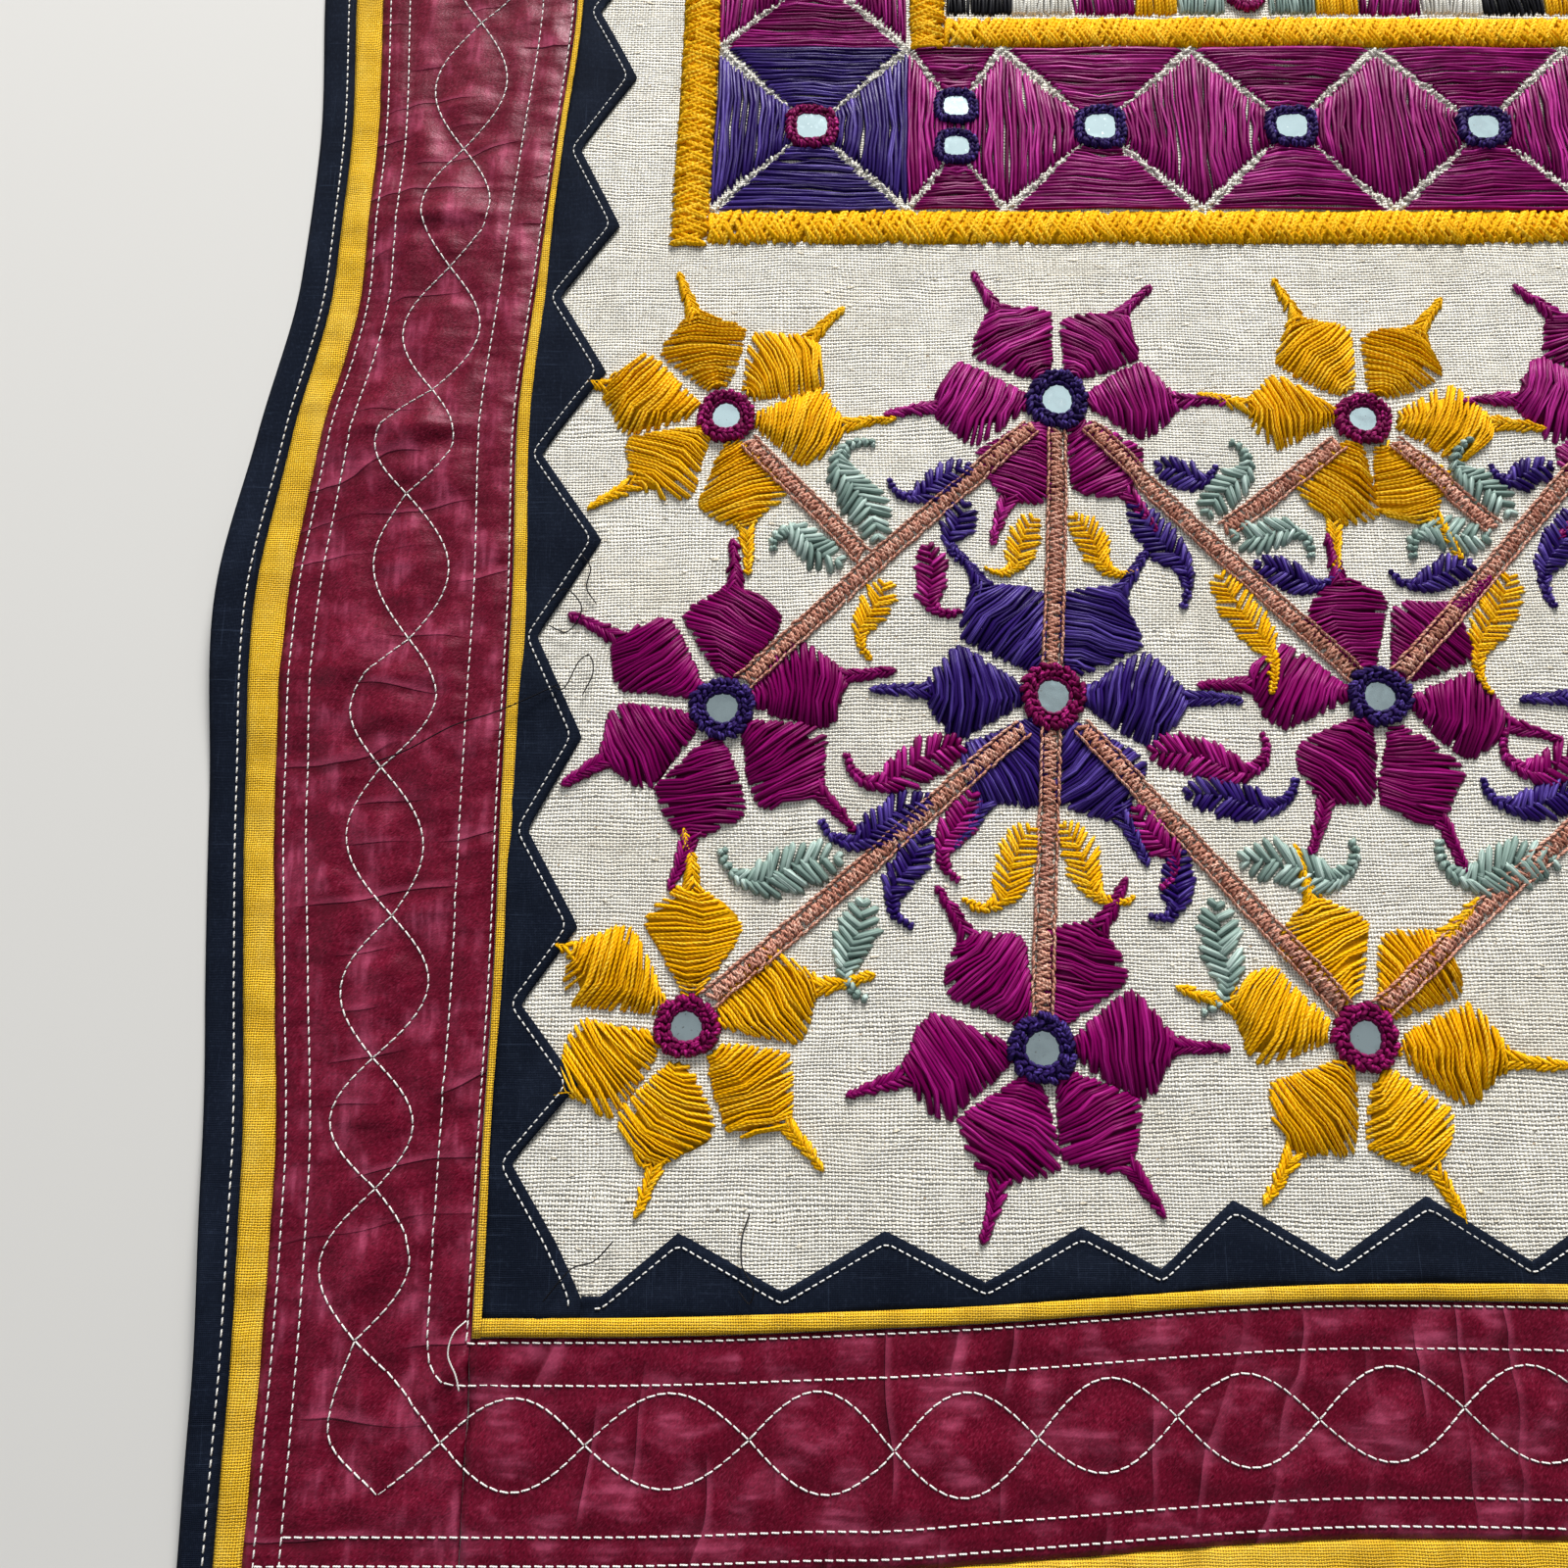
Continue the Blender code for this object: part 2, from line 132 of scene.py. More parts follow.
FRAME_WIDE = 209.0          # half the patterned frame's width
FRAME_LONG = 138.0
OUTER_BRAID = 13.0
BLOCK_WIDE = 196.3          # half the width of the ring of satin blocks
BLOCK_LONG = 125.0
BLOCK_DEEP = 63.0
BLOCK_CUTS = (-BLOCK_WIDE, -133.0, -101.3, -38.2, 24.5, 88.0, 133.0, BLOCK_WIDE)
NARROW_BLOCK = 50.0         # a narrower block has two rings, one above the other
PAIR_APART = 7.8            # how far each of the two is from the block's middle
BARE = 0.5                  # the bare ground left along a block's diagonals
INNER_BRAID = 12.5
PANEL_WIDE = 120.0
PANEL_LONG = 49.3
PANEL_DEEP = 30.0           # the depth of the inner panel's upright blocks
PANEL_GAP = 1.0             # between them and the diamonds in the panel's middle
UPRIGHT_SIDE = 0.3          # the bare ground at each side of an upright block
UPRIGHT_END = 0.4           # and at each of its ends
DIAMONDS = 6
FRAME_FLARE = 0.016         # how much wider the frame is at its ends than in the middle
FLARE_FROM = 45.0           # how far from the middle it starts to widen
FLARE_OVER = 90.0           # and over which distance

# The outer radius of the thread rings, and the share of it that a ring leaves open.
YELLOW_FLOWER_RING = 9.0
FLOWER_RING = 9.6
BLOCK_RING = 8.9
PAIRED_RING = 7.4
DIAMOND_RING = 7.2
PANEL_RING = 6.6
ROUND_OPENING = 0.5
SQUARE_OPENING = 0.59
GLASS_SHARE = 0.65          # the mirror's own radius, which runs under the ring
GLASS_THICK = 1.0
GLASS_SIDES = 20
GLASS_BEVEL = 0.2
GLASS_SPAN = 0.8            # the share of its radius over which the cloth's slope is taken
FLOWER_GLASS_RISE = 0.2
FRAME_GLASS_RISE = 0.75

Edge = namedtuple("Edge", "along outer quilted inner")
Crossing = namedtuple("Crossing", "along inset")
Piping = namedtuple("Piping", "along wide")
Tooth = namedtuple("Tooth", "tip reach")
Fold = namedtuple("Fold", "x y turn half_length half_width rise")
Flower = namedtuple("Flower", "x y petals ring light points")
Petal = namedtuple("Petal", "x y turn tail size wide slant bow colour light")
PetalStitch = namedtuple("PetalStitch", "pitch half tall point_half")
Leaf = namedtuple("Leaf", "x y end_x end_y hook colour")
LeafStitch = namedtuple("LeafStitch", "half pitch scale")
Stem = namedtuple("Stem", "x y end_x end_y")
Block = namedtuple("Block", "x0 y0 x1 y1 rings colour ring_colour")
Upright = namedtuple("Upright", "low high colour")
Ring = namedtuple("Ring", "x y outer colour square")
KnotRow = namedtuple("KnotRow", "middle count half swing rises")
Thread = namedtuple("Thread", "key name dark base light twist gloss")
Lamp = namedtuple("Lamp", "name where size power colour")
Strip = namedtuple("Strip", "name node slot columns row thick rests_on")
EdgeStrip = namedtuple("EdgeStrip", "strip outer inner rise droop crinkle trim")
Side = namedtuple("Side", "name long edges crossings teeth piping widths normal tangent")
Spot = namedtuple("Spot", "u along out outer inner x y")

# Each kind of cloth strip: its pieces, solids and finish, its grid's columns and the length of a
# row, how thick its sheet is and what it rests on.
QUILTED = Strip("quilted_border", "quilted", "maroon_satin", 32, 2.3, 1.0, "floor")
BAND = Strip("yellow_band", "band", "yellow_cotton", 6, 2.9, 0.6, "floor")
BINDING = Strip("navy_binding", "binding", "navy_cotton", 6, 4.2, 0.6, "floor")
PIPING = Strip("yellow_piping", "piping", "yellow_cotton", 4, 3.0, 0.6, "embroidered_panel")
TOOTHED = Strip("toothed_strip", "sawtooth", "navy_cotton", 7, 3.0, 0.7, "embroidered_panel")
EDGE_STRIPS = (
    EdgeStrip(BAND, "band", "quilted", BAND_THICK, droop=0.5, crinkle=0.42, trim=GAP / 2),
    EdgeStrip(BINDING, "outer", "band", BINDING_THICK, droop=0.62, crinkle=0.1, trim=0.0),
)
PANEL_COLUMNS, PANEL_ROWS, PANEL_SHEET = 96, 172, 0.9

# How far a side's lines are from the middle: the outer edge, then the quilted strip's two edges.
LONG_EDGES = (
    Edge(-545, 327.0, 311.0, 256.5),
    Edge(-480, 327.0, 311.0, 256.5),
    Edge(-425, 331.0, 312.0, 256.5),
    Edge(-372, 336.5, 317.0, 256.0),
    Edge(-320, 341.0, 322.0, 256.5),
    Edge(-265, 344.5, 324.0, 256.5),
    Edge(-205, 338.5, 318.0, 258.0),
    Edge(-150, 330.0, 310.0, 254.0),
    Edge(-100, 328.5, 309.5, 250.0),
    Edge(-41, 332.0, 312.0, 245.5),
    Edge(40, 336.0, 315.0, 248.0),
    Edge(130, 331.0, 311.5, 252.0),
    Edge(220, 334.0, 314.5, 256.0),
    Edge(310, 340.0, 319.5, 258.0),
    Edge(400, 334.0, 314.5, 256.0),
    Edge(480, 330.0, 313.0, 256.5),
    Edge(545, 330.0, 313.0, 256.5),
)

SHORT_EDGES = (
    Edge(-345, 541.0, 521.0, 465.0),
    Edge(-225, 541.0, 521.0, 465.0),
    Edge(-140, 538.5, 518.5, 462.5),
    Edge(-20, 532.0, 512.0, 456.0),
    Edge(100, 535.0, 515.0, 458.5),
    Edge(225, 541.0, 521.0, 465.0),
    Edge(345, 541.0, 521.0, 465.0),
)

# How wide the yellow piping shows along a long side, and along a short one.
LONG_PIPING = (
    Piping(-545, 2.3),
    Piping(-448, 2.4),
    Piping(-408, 1.9),
    Piping(-366, 2.5),
    Piping(-343, 2.5),
    Piping(-330, 3.4),
    Piping(-292, 3.5),
    Piping(-273, 4.4),
    Piping(-253, 4.1),
    Piping(-188, 3.6),
    Piping(-157, 3.2),
    Piping(-120, 2.0),
    Piping(-51, 1.9),
    Piping(40, 2.3),
    Piping(120, 3.4),
    Piping(200, 3.8),
    Piping(280, 2.4),
    Piping(360, 2.2),
    Piping(440, 3.0),
    Piping(545, 2.3),
)
SHORT_PIPING = (
    Piping(-345, 4.2),
    Piping(-215, 4.6),
    Piping(-120, 4.2),
    Piping(-40, 3.9),
    Piping(60, 4.6),
    Piping(180, 4.1),
    Piping(345, 4.2),
)

# Where the twist's two lines cross, and how far that is from the quilted strip's inner edge.
LONG_CROSSINGS = (
    Crossing(-465.7, 30.3),
    Crossing(-428, 27.8),
    Crossing(-394, 31.5),
    Crossing(-355, 29.2),
    Crossing(-312, 35.2),
    Crossing(-273, 29.7),
    Crossing(-226, 32.8),
    Crossing(-191, 27.1),
    Crossing(-147, 28.3),
    Crossing(-102, 30.4),
    Crossing(-52, 31.8),
)
LONG_PITCH = 41.0           # the measured crossings are carried on at this pitch and inset
LONG_INSET = 30.3

SHORT_CROSSINGS = (
    Crossing(-263, 24.9),
    Crossing(-226, 25.5),
    Crossing(-184, 25.0),
    Crossing(-147, 28.5),
    Crossing(-110, 27.9),
    Crossing(-74, 25.5),
    Crossing(-37.5, 28.2),
)
SHORT_PITCH = 37.5
SHORT_INSET = 26.8
SHORT_TWIST_END = 270

# Where each tooth's tip is along its side, and how far in from the piping it reaches.
LONG_TEETH = (
    Tooth(-442, 19),
    Tooth(-401, 23),
    Tooth(-358, 21),
    Tooth(-303, 20.5),
    Tooth(-241, 24.5),
    Tooth(-184, 24),
    Tooth(-131, 22),
    Tooth(-74, 21),
)
LAST_PLAIN_TIP = 401        # where the evenly spaced teeth end, before the corner's
CORNER_TOOTH = Tooth(442, 19)

SHORT_TEETH = (
    Tooth(-203, 21.5),
    Tooth(-148, 20),
    Tooth(-96, 18),
    Tooth(-55, 22),
)

FOLDS = (
    # across the side borders, where the quilting has drawn them in
    Fold(-297, -207, 8, 42, 30, 3.0),
    Fold(-300, -287, -4, 43, 28, 2.2),
    Fold(-290, -130, 6, 40, 30, 2.4),
    Fold(298, -330, 5, 42, 30, 2.6),
    Fold(300, -70, -6, 43, 28, 2.2),
    Fold(298, 207, 9, 42, 30, 3.0),
    Fold(-298, 120, -5, 42, 30, 2.5),
    Fold(-299, 345, 6, 42, 28, 2.2),
    # across the end borders
    Fold(-147, -502, 86, 40, 28, 2.2),
    Fold(130, -502, 95, 40, 30, 2.6),
    Fold(150, 502, 92, 40, 28, 2.4),
    Fold(-190, 502, 84, 40, 30, 2.2),
    # outer edges that stand a little off what the hanging lies on
    Fold(-348, -468, 90, 82, 44, 6.5),
    Fold(-358, -258, 92, 70, 40, 5.0),
    Fold(-350, 235, 88, 95, 42, 5.5),
    Fold(358, 262, 90, 70, 40, 5.0),
    Fold(350, -200, 91, 90, 42, 5.5),
    Fold(-40, -556, 0, 120, 42, 5.0),
    Fold(235, 558, 2, 90, 42, 4.5),
    # broad swells in the field
    Fold(-150, -250, 35, 190, 78, 2.4),
    Fold(130, -170, 30, 150, 76, 3.0),
    Fold(60, 215, 18, 210, 86, 3.0),
    Fold(-120, 350, 70, 120, 80, 2.2),
)

# Sharper creases across the quilted border, as ridges and troughs.
CREASES = (
    Fold(-283, -128, 4, 34, 4.2, 1.2),
    Fold(-281, -134, 8, 30, 3.7, -0.9),
    Fold(-290, -204, 3, 34, 4.2, 1.4),
    Fold(-288, -212, 9, 30, 4.2, -1.1),
    Fold(-291, -284, -3, 32, 3.8, 1.2),
    Fold(-289, -291, 2, 30, 3.8, -0.9),
    Fold(-272, -352, 24, 20, 3.8, 1.1),
    Fold(-268, -402, -20, 18, 3.8, 1.1),
    Fold(-273, -442, 32, 20, 4.0, 1.2),
    Fold(-262, -474, 44, 26, 4.2, 1.5),
    Fold(-254, -480, 58, 24, 3.8, -1.1),
    Fold(-268, -468, 30, 24, 3.8, -0.9),
    Fold(-150, -493, 82, 30, 4.2, 1.1),
    Fold(-64, -480, 70, 20, 3.8, 1.1),
    Fold(30, -484, 98, 26, 4.2, 1.1),
    Fold(142, -492, 88, 30, 4.2, 1.2),
    Fold(-288, 60, 5, 32, 4.2, 1.2),
    Fold(-287, 214, -6, 32, 4.2, 1.2),
    Fold(-290, 330, 7, 32, 4.2, 1.1),
)

# Each flower's place, colours, how light its threads are, and where its petals' long points head.
FLOWERS = (
    Flower(-193, -199.5, "yellow", "magenta", 1.0, (107, 46, -2, -82, -143, -196)),
    Flower(-90, -194.5, "magenta", "purple", 1.0, (118, 52, 0, -57, -115, -175)),
    Flower(5, -200.5, "yellow", "magenta", 1.0, (115, 55, -4, -62, -105, -189)),
    Flower(-193, -294.5, "magenta", "purple", 0.6, (87, 13, -43, -105, -154, -213)),
    Flower(-96, -290.5, "purple", "magenta", 1.0, (121, 56, -1, -64, -124, -182)),
    Flower(0, -290.5, "magenta", "purple", 0.65, (101, 45, -14, -70, -118, -184)),
    Flower(-202, -385.5, "yellow", "magenta", 0.9, (91, 15, -45, -104, -153, -212)),
    Flower(-104, -391.5, "magenta", "purple", 0.7, (122, 61, 0, -55, -110, -167)),
    Flower(-15, -388.5, "yellow", "magenta", 0.9, (105, 47, -8, -66, -126, -195)),
)
MIDDLE_COLUMN = 30          # flowers nearer the middle than this have no mirrored one

# One plant. A leaf's hook is the turn of its tip in degrees, anticlockwise when positive.
LEAVES = (
    Leaf(-146.7, -243.1, -148.6, -209.4, -150, "mint"),
    Leaf(-157.2, -249.5, -178.0, -243.6, 150, "mint"),
    Leaf(-117.5, -217.5, -142.4, -222.9, -120, "purple"),
    Leaf(-119.9, -229.2, -123.4, -247.3, 70, "purple"),
    Leaf(-132.3, -243.1, -123.5, -264.8, 130, "magenta"),
    Leaf(-144.4, -254.8, -150.0, -278.6, 80, "yellow"),
    Leaf(-61.4, -217.0, -42.8, -217.6, 110, "purple"),
    Leaf(-46.6, -233.4, -35.8, -209.0, 120, "mint"),
    Leaf(-39.5, -239.8, -15.5, -245.1, -120, "mint"),
    Leaf(-68.3, -229.2, -55.1, -261.5, -70, "purple"),
    Leaf(-33.3, -248.9, -8.4, -251.8, 90, "purple"),
    Leaf(-44.0, -251.5, -32.0, -288.7, -60, "yellow"),
    Leaf(-98.6, -234.0, -113.5, -251.2, -110, "yellow"),
    Leaf(-87.5, -233.4, -69.8, -251.6, 100, "yellow"),
    Leaf(-122.4, -305.2, -156.5, -309.6, -120, "magenta"),
    Leaf(-132.4, -321.3, -163.7, -328.8, -110, "purple"),
    Leaf(-120.5, -318.9, -126.3, -344.2, 100, "magenta"),
    Leaf(-134.9, -330.0, -139.9, -357.3, 110, "purple"),
    Leaf(-158.1, -338.5, -192.2, -337.5, -110, "mint"),
    Leaf(-152.6, -349.8, -153.2, -377.5, 90, "mint"),
    Leaf(-68.7, -307.7, -35.0, -302.8, 140, "magenta"),
    Leaf(-59.7, -319.9, -27.3, -316.4, 100, "purple"),
    Leaf(-74.2, -323.2, -67.3, -346.2, -110, "magenta"),
    Leaf(-61.4, -335.7, -71.1, -355.3, -110, "purple"),
    Leaf(-45.3, -339.5, -12.4, -334.8, 130, "mint"),
    Leaf(-52.9, -350.5, -57.9, -381.2, -80, "mint"),
    Leaf(-103.5, -329.0, -123.5, -350.9, -120, "yellow"),
    Leaf(-95.7, -328.0, -77.1, -350.2, 110, "yellow"),
)
STEMS = (
    Stem(-90.5, -203.5, -95.9, -282.2),
    Stem(-97.3, -298.8, -103.4, -383.2),
    Stem(-98.0, -203.0, -187.5, -286.7),
    Stem(-82.0, -203.0, -6.0, -284.7),
    Stem(-104.6, -299.8, -195.8, -378.5),
    Stem(-88.7, -298.8, -19.4, -380.9),
    Stem(-186.7, -207.0, -151.2, -247.9),
    Stem(-2.8, -208.0, -42.0, -238.3),
)

# A petal's half width at distances from the flower's heart, and a leaf's at shares of its length.
PETAL_REACH = (9.0, 13.0, 18.5, 24.0, 27.5, 31.0, 34.5, 38.0)
PETAL_HALF = (2.2, 5.3, 9.0, 12.4, 13.9, 11.9, 7.4, 2.9)
POINT_REACH = (35.0, 51.5)
POINT_HALF = (3.3, 2.1, 1.2)
POINT_LIMIT = 237.0         # no petal's point reaches further from the middle, where the teeth are
LEAF_SHARE = (0.0, 0.08, 0.22, 0.4, 0.56, 0.68, 0.84, 1.0)
LEAF_HALF = (2.4, 5.0, 6.5, 6.4, 5.2, 2.8, 1.5, 0.9)
LEAF_LONG = 36.0            # a leaf of this length is that wide
LEAF_SCALES = (0.86, 1.05)  # the least and the most that a shorter or longer one's widths change
PETAL_STEP = 60             # the turn from one petal to the next
PETAL_LEAN = 22.0           # how far from the heart a petal starts to lean to its long point
PETAL_FAR = 43.0            # no petal's satin reaches further from the heart

# How far apart and how thick each colour's stitches are, and how thick those of its long points.
PETAL_STITCHES = {
    "yellow": PetalStitch(1.26, 0.62, 0.5, point_half=0.6),
    "magenta": PetalStitch(1.1, 0.82, 0.42, point_half=0.75),
    "purple": PetalStitch(1.1, 0.82, 0.42, point_half=0.75),
}
LEAF_STITCHES = {
    "yellow": LeafStitch(0.62, 1.35, scale=1.03),
    "magenta": LeafStitch(0.95, 1.6, scale=1.03),
    "purple": LeafStitch(0.95, 1.6, scale=1.03),
    "mint": LeafStitch(1.15, 2.1, scale=1.16),
}

# The inner panel's upright blocks, from left to right, and the place of the ring between two.
PANEL_BLOCKS = (
    Upright(-120.0, -97.5, "charcoal"),
    Upright(-97.5, -76.5, "natural"),
    Upright(-76.5, -55.5, "magenta"),
    Upright(-55.5, -40.5, "yellow"),
    Upright(-40.5, -24.5, "mint"),
    Upright(-10.0, 6.0, "mint"),
    Upright(6.0, 21.0, "yellow"),
    Upright(21.0, 42.0, "magenta"),
    Upright(42.0, 63.0, "natural"),
    Upright(63.0, 84.0, "charcoal"),
    Upright(84.0, 102.0, "yellow"),
    Upright(102.0, 120.0, "mint"),
)
PANEL_RING_AT = (-17.3, -40.0)

# The rows of knots of a mirror's ring: how far out between its edges, how many, how thick, how
# far each knot swings round and the rise of its four points.
KNOT_ROWS = (
    KnotRow(0.76, 24, 1.08, swing=0.2, rises=(0.1, 1.8, 1.4, -0.2)),
    KnotRow(0.4, 20, 0.98, swing=-0.2, rises=(0.1, 1.7, 1.75, -0.2)),
)

# Each thread's colours, the length of a turn of its ply (none in loose floss) and its gloss.
THREADS = (
    Thread("yellow", "yellow_cotton_thread",
           (0.56, 0.25, 0.0), (1.0, 0.54, 0.006), (1.0, 0.74, 0.08), twist=1.5, gloss=0.1),
    Thread("magenta", "magenta_floss",
           (0.052, 0.0, 0.019), (0.225, 0.0003, 0.108), (0.62, 0.04, 0.38), twist=0.0, gloss=0.2),
    Thread("purple", "purple_floss",
           (0.005, 0.001, 0.026), (0.026, 0.006, 0.135), (0.14, 0.09, 0.42), twist=0.0, gloss=0.28),
    Thread("mint", "mint_floss",
           (0.08, 0.13, 0.115), (0.28, 0.39, 0.35), (0.66, 0.80, 0.75), twist=0.0, gloss=0.2),
    Thread("rose_brown", "rose_brown_thread",
           (0.17, 0.05, 0.032), (0.76, 0.37, 0.27), (1.0, 0.76, 0.62), twist=1.1, gloss=0.12),
    Thread("charcoal", "charcoal_thread",
           (0.004, 0.004, 0.006), (0.010, 0.010, 0.013), (0.03, 0.03, 0.04), twist=0.0, gloss=0.24),
    Thread("natural", "natural_thread",
           (0.60, 0.57, 0.49), (0.90, 0.88, 0.81), (0.98, 0.97, 0.94), twist=0.9, gloss=0.2),
    Thread("magenta_ring", "magenta_ring_thread",
           (0.045, 0.0, 0.016), (0.26, 0.001, 0.095), (0.64, 0.03, 0.31), twist=1.6, gloss=0.34),
    Thread("purple_ring", "purple_ring_thread",
           (0.005, 0.001, 0.022), (0.030, 0.010, 0.12), (0.13, 0.08, 0.42), twist=1.6, gloss=0.34),
    Thread("sewing", "white_sewing_thread",
           (0.62, 0.61, 0.58), (0.88, 0.87, 0.84), (0.97, 0.97, 0.95), twist=0.7, gloss=0.4),
)

# Loose thread ends, as places and their rise over the panel's upper face.
LOOSE_ENDS = (
    ((-236, -246, 1.5), (-233, -251, 2.2), (-234, -257, 1.4), (-231, -262, 0.8)),
    ((-245, -262, 2.2), (-240, -258, 3.2), (-235, -264, 2.6), (-239, -271, 2.0), (-245, -269, 1.8)),
    ((-243, -288, 2.2), (-239, -289, 3.2), (-235, -281, 3.6),
     (-232, -279, 2.8), (-231, -284, 2.0), (-234, -291, 1.4)),
    ((-240, -287, 2.2), (-249, -292, 3.6), (-259, -297, 5.0),
     (-270, -301, 5.4), (-283, -308, 5.2), (-294, -312, 4.4)),
    ((-184, -434, 0.8), (-186, -440, 1.2), (-186, -447, 2.4),
     (-183, -452, 3.2), (-184, -456, 3.4), (-187, -453, 3.2)),
    ((-220, -441, 1.6), (-225, -446, 2.4), (-231, -448, 3.0), (-238, -456, 2.6)),
)
LOOSE_WHITE_END = (
    (-257, -460, 4.0), (-260, -463, 5.2), (-261, -468, 5.4), (-259, -473, 4.6), (-258, -477, 4.0),
)
LOOSE_HALF = 0.2
LOOSE_WHITE_HALF = 0.24
LOOSE_LEAST_RISE = 0.45

LAMPS = (
    Lamp("window", (0.45, 2.7, 1.5), 1.1, 205.0, (1.0, 0.98, 0.95)),
    Lamp("pale_card", (0.3, 1.6, 1.9), 2.5, 8.6, (0.88, 0.98, 1.0)),
    Lamp("fill", (-1.8, -0.3, 1.6), 1.8, 9.0, (0.95, 0.97, 1.0)),
)
LAMPS_FACE = (-0.1, -0.2, 0.0)
SKY_COLOUR = (0.93, 0.96, 1.0, 1.0)
SKY_POWER = 0.25
FLOOR_SIZE = 8
FLOOR_AT = (0, 0, -0.0004)
CAMERA_AT = (-0.175, -0.39343, 0.33323)
CAMERA_TILT = 13.0          # degrees from straight down
CAMERA_LENS = 27.05


def smooth(rows, column, along):
    """A column's values on a smooth curve through a table's rows, level at its turning points."""
    at = np.array([row.along for row in rows], float)
    value = np.array([getattr(row, column) for row in rows], float)
    along = np.clip(along, at[0], at[-1])
    rise = np.diff(value) / np.diff(at)
    before, after = rise[:-1], rise[1:]
    same = before * after > 0
    slope = np.zeros(len(at))
    slope[1:-1][same] = 2 * before[same] * after[same] / (before[same] + after[same])
    first = np.clip(np.searchsorted(at, along) - 1, 0, len(at) - 2)
    span = at[first + 1] - at[first]
    t = (along - at[first]) / span
    return (
        value[first] * (2 * t**3 - 3 * t**2 + 1)
        + slope[first] * span * (t**3 - 2 * t**2 + t)
        + value[first + 1] * (3 * t**2 - 2 * t**3)
        + slope[first + 1] * span * (t**3 - t**2)
    )


def raised(folds, x, y):
    """The height of a table's soft folds at each place."""
    height = np.zeros(np.broadcast(x, y).shape)
    for fold in folds:
        turn = math.radians(fold.turn)
        along = ((x - fold.x) * math.cos(turn) + (y - fold.y) * math.sin(turn)) / fold.half_length
        across = ((y - fold.y) * math.cos(turn) - (x - fold.x) * math.sin(turn)) / fold.half_width
        wave = (1 + np.cos(math.pi * along)) * (1 + np.cos(math.pi * across))
        inside = (abs(along) < 1) & (abs(across) < 1)
        height += np.where(inside, fold.rise * wave / 4, 0.0)
    return height


def lie(x, y):
    """How high the hanging's underside is."""
    return raised(FOLDS, x, y)


def ripples(x, y, length, seed):
    """Soft uneven waves of about that length, from about -1 to 1."""
    roll = np.random.default_rng(seed)
    waves = 7
    total = 0.0
    for _ in range(waves):
        turn = roll.uniform(0, math.tau)
        pitch = length * roll.uniform(0.7, 1.5)
        start = roll.uniform(0, math.tau)
        total = total + np.sin(math.tau * (x * math.cos(turn) + y * math.sin(turn)) / pitch + start)
    return total / (waves / 2)


def field_top(x, y):
    """The height of the embroidered panel's upper face."""
    return lie(x, y) + FIELD_THICK + 0.22 * ripples(x, y, 42, 3) + 0.1 * ripples(x, y, 21, 4)


def carried_on(measured, pitch, end, inset, seed):
    """Measured crossings, then more of them at an even pitch, wandering as the others do."""
    roll = np.random.default_rng(seed)
    rows = list(measured)
    while rows[-1].along + pitch <= end:
        rows.append(Crossing(rows[-1].along + pitch, inset + roll.uniform(-2.5, 2.5)))
    return tuple(rows)


def teeth_to(measured, end):
    """Measured teeth, then plain ones, evenly spaced, with the last one at end."""
    start = measured[-1].tip
    more = round((end - start) / TOOTH_PITCH)
    tips = [start + (end - start) * (i + 1) / more for i in range(more)]
    return tuple(measured) + tuple(Tooth(tip, TOOTH_REACH) for tip in tips)


# Each kind of side. Its piping is as wide as the solid's, and widths is how wide it shows.
LONG = {
    "long": True,
    "edges": LONG_EDGES,
    "crossings": carried_on(LONG_CROSSINGS, LONG_PITCH, TWIST_LAST, LONG_INSET, 11),
    "teeth": teeth_to(LONG_TEETH, LAST_PLAIN_TIP) + (CORNER_TOOTH,),
    "piping": 2.3,
    "widths": LONG_PIPING,
}
SHORT = {
    "long": False,
    "edges": SHORT_EDGES,
    "crossings": carried_on(SHORT_CROSSINGS, SHORT_PITCH, SHORT_TWIST_END, SHORT_INSET, 12),
    "teeth": teeth_to(SHORT_TEETH, -SHORT_TEETH[0].tip),
    "piping": 4.2,
    "widths": SHORT_PIPING,
}
SIDES = (
    Side("left", normal=(-1, 0), tangent=(0, 1), **LONG),
    Side("right", normal=(1, 0), tangent=(0, -1), **LONG),
    Side("bottom", normal=(0, -1), tangent=(1, 0), **SHORT),
    Side("top", normal=(0, 1), tangent=(-1, 0), **SHORT),
)
LEFT, RIGHT, BOTTOM, TOP = SIDES


def out_of(side, line, along):
    """A line's distance from the middle: outer, band, quilted or inner, from the outside in."""
    if line != "band":
        return smooth(side.edges, line, along)
    outer = smooth(side.edges, "outer", along)
    return outer - NAVY_SHARE * (outer - smooth(side.edges, "quilted", along))


def mean_width(side, outer_line, inner_line):
    """The mean distance between two of a side's lines."""
    along = np.linspace(side.edges[0].along, side.edges[-1].along, 200)
    return float((out_of(side, outer_line, along) - out_of(side, inner_line, along)).mean())


def at_corner(side, line, along=-CORNER_OUT):
    """A line's distance from the middle at one end of its side."""
    return float(out_of(side, line, along))


def place(side, along, out):
    """The x and y of a place on a side."""
    x = side.normal[0] * out + side.tangent[0] * along
    y = side.normal[1] * out + side.tangent[1] * along
    return x, y


def piping_edge(side, along):
    """The piping's inner edge, where the toothed strip begins."""
    return out_of(side, "inner", along) - side.piping


def tooth_end(side):
    """The toothed strip's half length."""
    if side.long:
        return at_corner(BOTTOM, "inner") - BOTTOM.piping - GAP
    return at_corner(LEFT, "inner") - LEFT.piping - CORNER_REACH - GAP


